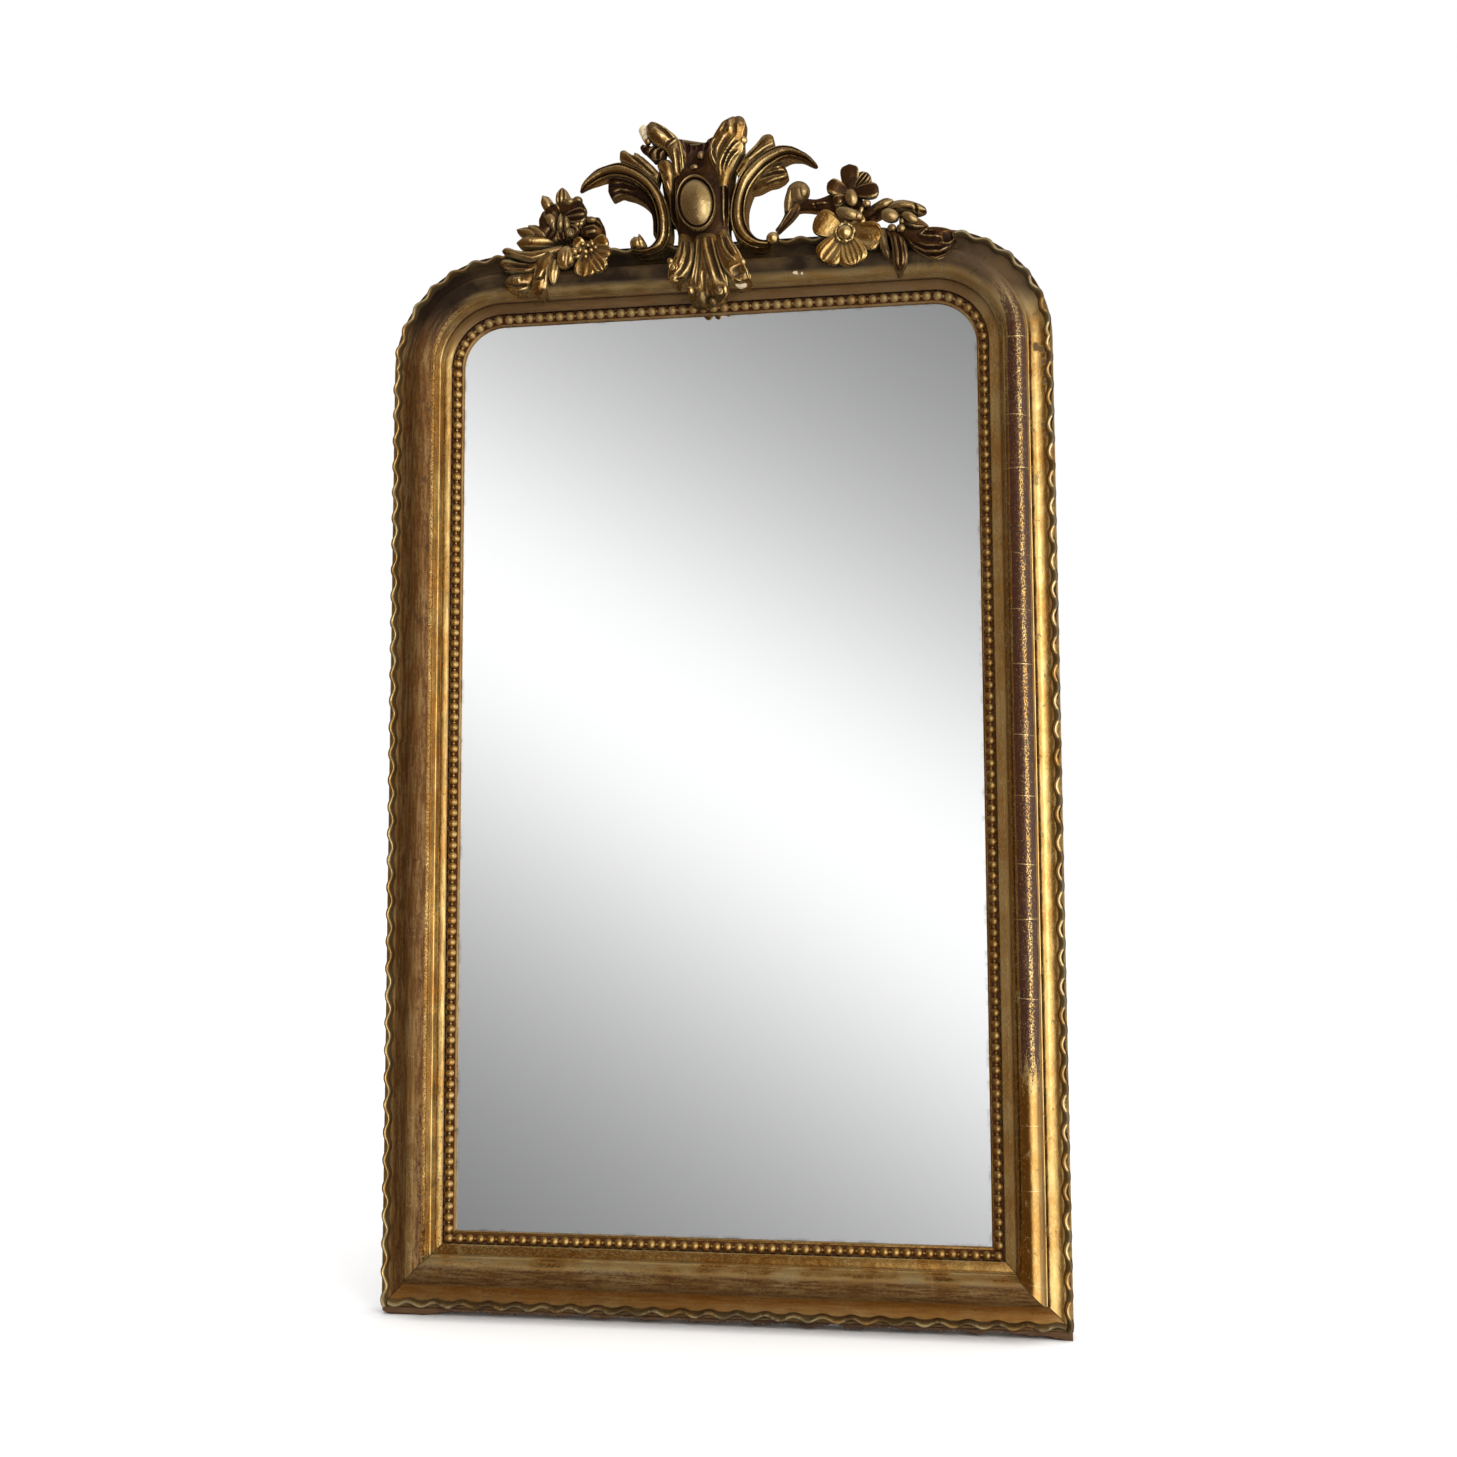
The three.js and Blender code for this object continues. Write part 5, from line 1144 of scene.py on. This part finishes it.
crest_piece("left_spray_leaves", [
    leaf([(-150, 2, 18, 24, 8), (-176, 7, 15, 27, 10), (-196, 13, 15, 31, 14),
          (-213, 18, 12, 29, 18)], ribs=1, rib=1.2, tip=0.3),
    leaf([(-168, 4, 14, 28, 10), (-184, 12, 15, 33, 12), (-199, 22, 12, 30, 16)], ribs=1, rib=1.2,
         tip=0.35),
    leaf([(-160, 2, 16, 26, 4), (-182, 3, 14, 34, 6), (-199, 4, 14, 37, 10),
          (-213, 2, 11, 32, 14)], ribs=1, tip=0.35),
    panel([(-158, -2, -158, -14, 30, 4), (-176, -6, -176, -17, 38, 4), (-195, -8, -193, -21, 42, 4),
           (-212, -6, -209, -18, 42, 4), (-225, -2, -222, -13, 38, 6),
           (-231, -5, -229, -10, 33, 10)],
          [(1.8, 2.0, [(-176, -14), (-194, -18), (-210, -14), (-224, -8)])], tip=0.12),
    panel([(-180, -20, -180, -29, 38, 4), (-196, -23, -194, -33, 42, 4),
           (-212, -20, -208, -34, 43, 4), (-226, -16, -221, -33, 41, 4),
           (-235, -19, -231, -28, 36, 4)],
          [(-3.0, 4, [(-194, -27), (-210, -26), (-224, -24)]),
           (1.6, 1.6, [(-194, -32), (-208, -33), (-220, -31), (-229, -26)])],
          tip=0.16),
    panel([(-186, -32, -190, -46, 38, 4), (-200, -34, -200, -53, 43, 4),
           (-213, -35, -211, -56, 44, 4), (-223, -38, -222, -54, 42, 4),
           (-229, -46, -226, -52, 38, 4)],
          [(3.0, 6, [(-206, -43), (-217, -43)]),
           (-2.4, 2.2, [(-198, -49), (-212, -50), (-222, -47)]),
           (1.5, 1.8, [(-200, -53), (-212, -55), (-222, -52)])], tip=0.16),
    leaf([(-172, -12, 14, 38, 4), (-181, -24, 17, 43, 4), (-184, -40, 17, 45, 4),
          (-186, -53, 17, 44, 4), (-185, -61, 12, 40, 4)],
         strokes=[(-2.4, 2.4, [(-178, -34), (-182, -42), (-190, -44)]),
                  (2.0, 2.2, [(-189, -26), (-193, -42)]),
                  (2.0, 2.0, [(-176, -30), (-177, -48)])], tip=0.18),
    leaf([(-166, -22, 12, 40, 4), (-169, -34, 12, 44, 4), (-169, -49, 9, 42, 4)], ribs=2, rib=1.0,
         tip=0.3),
    leaf([(-168, 34, 9, 28, 14), (-176, 46, 14, 33, 16), (-182, 57, 11, 29, 20)], ribs=1, rib=1.5,
         tip=0.35),
    leaf([(-158, 38, 12, 28, 14), (-159, 52, 16, 35, 16), (-158, 65, 13, 30, 20)], ribs=3, rib=1.1,
         tip=0.35),
    leaf([(-150, 8, 24, 22, 6), (-130, 2, 24, 24, 6), (-110, -2, 16, 22, 8)], tip=0.3),
    egg(-140, 20, 34, (5, 3, 4), 40), egg(-136, 20, 34, (3, 4, 4), -40),
], dull_and_shade=0.05)

crest_piece("right_open_flower", [
    petal(168, -9, 39, 152, 37, 30, ribs=1, cup=2.0),
    petal(169, -9, 38, 52, 28, 24, ribs=2, cup=1.6),
    petal(169, -10, 41, 350, 42, 32, ribs=2, cup=3.0, rib=0.9),
    petal(168, -12, 42, 231, 38, 31, ribs=4, cup=2.4, rib=0.5),
    petal(170, -12, 42, 287, 37, 33, ribs=6, cup=1.8, rib=0.35), *boss(169, -9, 45, 8.2),
], dull_and_shade=-0.45)
crest_piece("right_upper_flower", [
    petal(176, 36, 36, 92, 33, 21, ribs=1, cup=1.6, thick=10),
    petal(180, 38, 35, 50, 25, 17, ribs=4, cup=1.0, rib=1.0, thick=10),
    petal(177, 36, 38, 4, 31, 17, ribs=1, cup=2.0, thick=10),
    petal(174, 36, 36, 152, 27, 17, ribs=1, thick=10),
    petal(174, 30, 37, 190, 18, 14, ribs=1, thick=10),
    petal(176, 24, 36, 240, 20, 16, ribs=1, thick=10),
    egg(177, 30, 40, (7, 10.5, 6), 12), egg(172, 12, 40, (14, 7, 6), -20),
    egg(184, 8, 39, (6, 5, 5)),
    egg(164, 26, 40, (3, 2.4, 3), 40), egg(188, 14, 40, (2.6, 5, 4), -20),
    egg(194, 22, 36, (5, 4.5, 5)),
    leaf([(180, 27, 4, 38, 30), (180, 32, 5, 43, 32), (178, 38, 4, 42, 32)], tip=0.35, root=0.3),
], dull_and_shade=0.3)
crest_piece("right_bud", [
    egg(117, 40, 28, (13.5, 13, 11), 0), egg(121, 42, 33, (7, 9, 6), 10),
    leaf([(105, 18, 9, 30, 16), (106, 32, 11, 34, 16), (109, 44, 9, 36, 16), (114, 52, 4, 31, 18)],
         ribs=1, tip=0.3),
], dull_and_shade=0.5)
crest_piece("right_spray_leaves", [
    panel([(90, -1, 94, -7, 27, 20), (97, 8, 102, 1, 28, 18), (102, 20, 111, 11, 29, 16),
           (103, 34, 120, 24, 29, 14), (106, 42, 124, 34, 28, 14)],
           [(1.2, 1.6, [(94, -3), (101, 8), (110, 22)])], tip=0.1),
    panel([(112, 36, 116, 18, 26, 14), (126, 33, 124, 19, 27, 14), (140, 32, 140, 17, 28, 12),
           (158, 38, 158, 10, 29, 10), (176, 40, 176, 6, 30, 8), (196, 22, 194, 4, 31, 8),
           (210, 18, 208, 8, 31, 8)],
          [(1.5, 2, [(130, 24), (150, 25)]), (-1.6, 2, [(136, 26), (138, 20)])]),
    leaf([(200, 12, 14, 28, 8), (212, 19, 15, 35, 12), (224, 24, 14, 34, 14)], ribs=1, rib=1.3,
         tip=0.4),
    leaf([(214, 12, 12, 30, 10), (230, 18, 13, 37, 14), (244, 16, 12, 36, 18),
          (254, 12, 11, 35, 20), (261, 9, 9, 32, 22)],
         ribs=1, rib=0.9, tip=0.3, strokes=[(-2.0, 2.4, [(248, 20), (250, 8)])]),
    egg(220, 6, 38, (11, 8, 7), -22), egg(242, 3, 38, (10, 5.5, 5), -32),
    panel([(232, 9, 230, -3, 32, 6), (246, 6, 241, -8, 37, 8), (256, -1, 251, -12, 35, 10),
           (265, -8, 261, -12, 30, 14)],
          [(1.6, 2, [(236, -3), (248, -9), (260, -11)])], tip=0.2),
    egg(233, -1, 41, (2.6, 3.4, 3)), egg(222, -8, 38, (5, 4.5, 4)), egg(232, -9, 39, (5, 5, 4)),
    panel([(214, -8, 212, -14, 32, 4), (232, -8, 228, -16, 38, 4), (250, -12, 242, -29, 42, 4),
           (266, -9, 257, -42, 43, 4), (280, -11, 272, -47, 43, 4), (290, -15, 284, -42, 41, 4),
           (295, -22, 292, -31, 36, 4)],
          [(-4.5, 8, [(278, -24), (290, -22)]),
           (2.0, 1.6, [(275, -29), (285, -31), (292, -26), (294, -18)]),
           (2.2, 1.6, [(253, -19), (262, -21), (276, -22)]), (2.0, 1.6, [(253, -19), (262, -11)]),
           (-2.6, 3, [(256, -16), (270, -17)]),
           (2.0, 1.6, [(236, -20), (246, -31), (258, -38), (275, -39), (286, -34)]),
           (-2.4, 2.2, [(246, -28), (260, -34), (276, -35)]),
           (-2.4, 2.0, [(260, -41), (272, -43), (282, -40)]),
           (1.6, 1.5, [(262, -42), (270, -46), (280, -43), (288, -38)])], tip=0.16, fall=4),
    leaf([(212, -8, 9, 36, 4), (212, -22, 10, 42, 4), (215, -35, 9, 43, 4), (219, -44, 5, 40, 4)],
         strokes=[(1.6, 1.6, [(211, -16), (213, -28), (218, -40)])], tip=0.25),
    panel([(214, -8, 228, -10, 36, 4), (220, -20, 236, -22, 43, 4), (222, -34, 239.5, -34, 45, 4),
           (223, -48, 239, -47, 45, 4), (225, -59, 235, -57, 41, 4)],
           [(-1.8, 2.4, [(228, -18), (231, -36), (231, -54)]), (1.6, 2, [(236, -26), (239, -44)])],
          tip=0.18),
], dull_and_shade=0.5)


# ---- Base strip, with the broken lower edge that the photograph shows ----
def broken_base():
    steps, rings = 360, []
    for i in range(steps):
        x = -383 + 766 * i / (steps - 1)
        middle = np.clip(max(-x - 305, x - 345) / 30, 0, 1)
        point = np.array([[x, 0, 0]])
        foot = (1 - middle) * (5.4 + 1.2 * ripple(point, 26, 51)[0] + 0.8 * ripple(point, 5, 52)[0])
        foot = min(max(foot, 0.3, 3.5 * (-x - 375) / 8), 7.8)
        front = BASE_FRONT_H - 0.5 * (1 + ripple(point, 14, 53)[0]) * (1 - middle)
        rings.append([(x, BACK_H, BASE_TOP), (x, BACK_H, foot), (x, front - 0.6, foot),
                      (x, front, foot + 0.6), (x, front, BASE_TOP)])
    return tube(np.array(rings))


make_piece("base_strip_broken", [broken_base()], BASE_WOOD, ["base_strip"],
           rough=0.25, sharp=50)


# ---- Hardware on the back ----
def hanging_ring(side):
    half, drop, wire, corner = 13.0, 21.0, 1.4, 3.2
    path = [(-(half - corner), 0), (0, 0), (half - corner, 0)]
    for t in np.linspace(0.3, QUARTER, 5):
        path.append((half - corner + corner * math.sin(t), -corner + corner * math.cos(t)))
    for t in np.linspace(0, math.pi, 26):
        path.append((half * math.cos(t), -(drop - half) - half * math.sin(t)))
    for t in np.linspace(0, QUARTER - 0.3, 5):
        path.append((-(half - corner) - corner * math.cos(t), -corner + corner * math.sin(t)))
    path = np.array(path)
    along = np.roll(path, -1, 0) - np.roll(path, 1, 0)
    along /= np.linalg.norm(along, axis=1)[:, None]
    turn = np.linspace(0, 2 * math.pi, 14, endpoint=False)
    out, lift = wire * np.cos(turn), wire * np.sin(turn)
    rings = [np.column_stack([side * HANGER_X + a - dy * out, HANGER_H - lift,
                              HANGER_Z + b + dx * out]) for (a, b), (dx, dy) in zip(path, along)]
    return tube(np.array(rings), closed=True)


def slotted_screw(x, z, seat, length, slot_turn):
    """A round-headed screw with a slot, driven from the back. Its seat is at h = seat."""
    rings, head, shank = [], 3.6, 1.6
    angle = np.linspace(0, 2 * math.pi, 32, endpoint=False)
    for radius, h in [(0.01, length), (shank, length - 3), (shank, -0.3), (head, -0.3),
                      (head, -0.7), (0.93 * head, -1.1), (0.8 * head, -1.45), (0.55 * head, -1.65),
                      (0.3 * head, -1.7), (0.02, -1.7)]:
        a, b = radius * np.cos(angle), radius * np.sin(angle)
        across = np.abs(a * math.cos(slot_turn) + b * math.sin(slot_turn))
        sunk = (0.7 if h < -1.0 else 0.0) * np.clip((0.75 - across) / 0.3, 0, 1)
        rings.append(np.column_stack([x + a, seat + h + sunk, z + b]))
    return tube(np.array(rings))


for name, side in (("left", -1), ("right", 1)):
    make_piece(f"hanging_ring_{name}_wire", [hanging_ring(side)], IRON,
               [f"hanging_ring_{name}"], body=f"{name}_ring", sharp=80, gain=0.0)
    for level, dz in (("upper", -29), ("lower", -42)):
        turn = 0.6 + dz + side
        screw = slotted_screw(side * HANGER_X, HANGER_Z + dz, BACK_H - 1.8, 14, turn)
        make_piece(f"hanger_screw_{name}_{level}_slotted", [screw], IRON,
                   [f"hanger_screw_{name}_{level}"], gain=0.0)
for level, z, length in (("lower", 1190, 17), ("upper", 1280, 30)):
    screw = slotted_screw(CREST_X, z, BACK_H + 0.3, length, z)
    make_piece(f"crest_screw_{level}_slotted", [screw], IRON, [f"crest_screw_{level}"],
               gain=0.0)

brads = []
for x in (-290, -215, -115, -88, 0, 88, 115, 215, 290):
    for z in (SIGHT_BOTTOM, SIGHT_TOP):
        brads.append(ball((x, z, -19.6), (1.6, 1.6, 0.5), 0, 12, 7))
make_piece("backboard_brads", brads, IRON, sharp=60, gain=0.0)


# ---- CAD nodes that stay, with their finishes ----
def dress(node, material):
    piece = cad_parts[node]
    piece.data.materials.clear()
    piece.data.materials.append(material)


UPRIGHTS = ["crest_batten", "backboard_left", "backboard_middle", "backboard_right"]
for side in ("left", "right"):
    UPRIGHTS += [f"carcass_{side}_stile", f"glazing_wedge_{side}_upper",
                 f"glazing_wedge_{side}_lower"]
    dress(f"hanger_plate_{side}", IRON)
for node in UPRIGHTS:
    dress(node, UPRIGHT_WOOD)
for node in ("carcass_top_rail", "carcass_bottom_rail"):
    dress(node, LEVEL_WOOD)
dress("mirror_glass", MIRROR)


# ---- Studio: pale floor, soft light, and a bright side to the right ----
floor_mesh = bpy.data.meshes.new("floor")
floor_mesh.from_pydata([(-20, -20, 0), (20, -20, 0), (20, 20, 0), (-20, 20, 0)], [], [(0, 1, 2, 3)])
floor_material, n = new_material("pale_floor")
n.finish(Base_Color=(0.86, 0.86, 0.86, 1), Roughness=0.9)
floor_mesh.materials.append(floor_material)
floor = bpy.data.objects.new("floor", floor_mesh)
floor.visible_glossy = False
bpy.context.scene.collection.objects.link(floor)


def lamp(name, kind, energy, turn):
    """A lamp that no gloss shows."""
    data = bpy.data.lights.new(name, kind)
    data.energy = energy
    holder = bpy.data.objects.new(name, data)
    holder.rotation_euler = turn
    holder.visible_glossy = False
    bpy.context.scene.collection.objects.link(holder)
    return holder


overhead = lamp("overhead", "SUN", 3.0, (math.radians(14), math.radians(10), 0))
overhead.data.angle = math.radians(70)
fill_place = Vector((2.2, -2.4, 1.8))
aim = (Vector((0, 0, 0.7)) - fill_place).to_track_quat("-Z", "Y").to_euler()
fill = lamp("fill", "AREA", 34, aim)
fill.location, fill.visible_camera = fill_place, False
fill.data.shape, fill.data.size, fill.data.color = "SQUARE", 1.6, (1, 0.95, 0.88)

world = bpy.data.worlds.new("studio")
world.use_nodes = True
bpy.context.scene.world = world
n = Nodes(world.node_tree)
direction = n.add("ShaderNodeTexCoord", output="Generated")
east, north, rise = n.parts(direction)


def lit(base, share, level, colour):
    """Light of a level and colour added to the base where the share is."""
    light = n.blend(share, (0, 0, 0, 1), (*(level * v for v in colour), 1))
    return n.blend(1.0, base, light, blend_type="ADD")


def ray(kind):
    return n.add("ShaderNodeLightPath", output=f"Is {kind} Ray")


sideways = n.step(east, -0.20, 0.32)
upright = n.step(rise, -1.0, -0.30, 0.14, 1.0) * n.step(rise, 0.05, 0.60, 1.0, 0.30)
level = sideways * upright * n.step(north, 0.55, 0.1)
room = n.blend(n.step(level, 0.0, 0.30), (0.15, 0.088, 0.036, 1), (0.42, 0.29, 0.14, 1))
room = n.blend(n.step(level, 0.12, 1.0), room, (1.75, 1.64, 1.38, 1))
toward_window = {0: direction, 1: tuple(Vector((0.53, -0.84, 0.08)).normalized())}
window = n.add("ShaderNodeVectorMath", toward_window, "Value", operation="DOT_PRODUCT")
room = lit(room, n.step(window, 0.955, 0.995), 1.8, (1.0, 0.97, 0.92))
room = lit(room, n.step(rise, 0.35, 0.95), 0.16, (0.95, 0.92, 0.85))

# What the glass shows: a soft band of light that crosses it from upper left to lower right.
band_tilt, band_height, band_width = 0.6, 0.64, 0.40
glass_ahead = (GLASS_Y - EYE[1]) / 1000
lean = (band_height - EYE[2] / 1000 - band_tilt * EYE[0] / 1000) / glass_ahead
off_band = (rise + east * band_tilt + north * lean) / n.most(north * -1.0, 0.15)
off_band = off_band * (glass_ahead / band_width)
band = n.math("DIVIDE", 1.0, off_band * off_band + 1.0)
band_light = n.blend(band, (0, 0, 0, 1), (1.04, 1.04, 1.04, 1))

ambient = n.blend(ray("Singular") * n.step(east, 0.76, 0.60), room, band_light)
ambient = n.blend(ray("Diffuse"), ambient, (0.5, 0.5, 0.5, 1))
ambient = n.blend(ray("Camera"), ambient, (1, 1, 1, 1))
background = n.add("ShaderNodeBackground", {"Color": ambient, "Strength": 1.0})
n.node("ShaderNodeOutputWorld", {"Surface": background})
bpy.context.scene.view_settings.view_transform = "Standard"
bpy.context.scene.view_settings.look = "None"

bpy.context.view_layer.update()
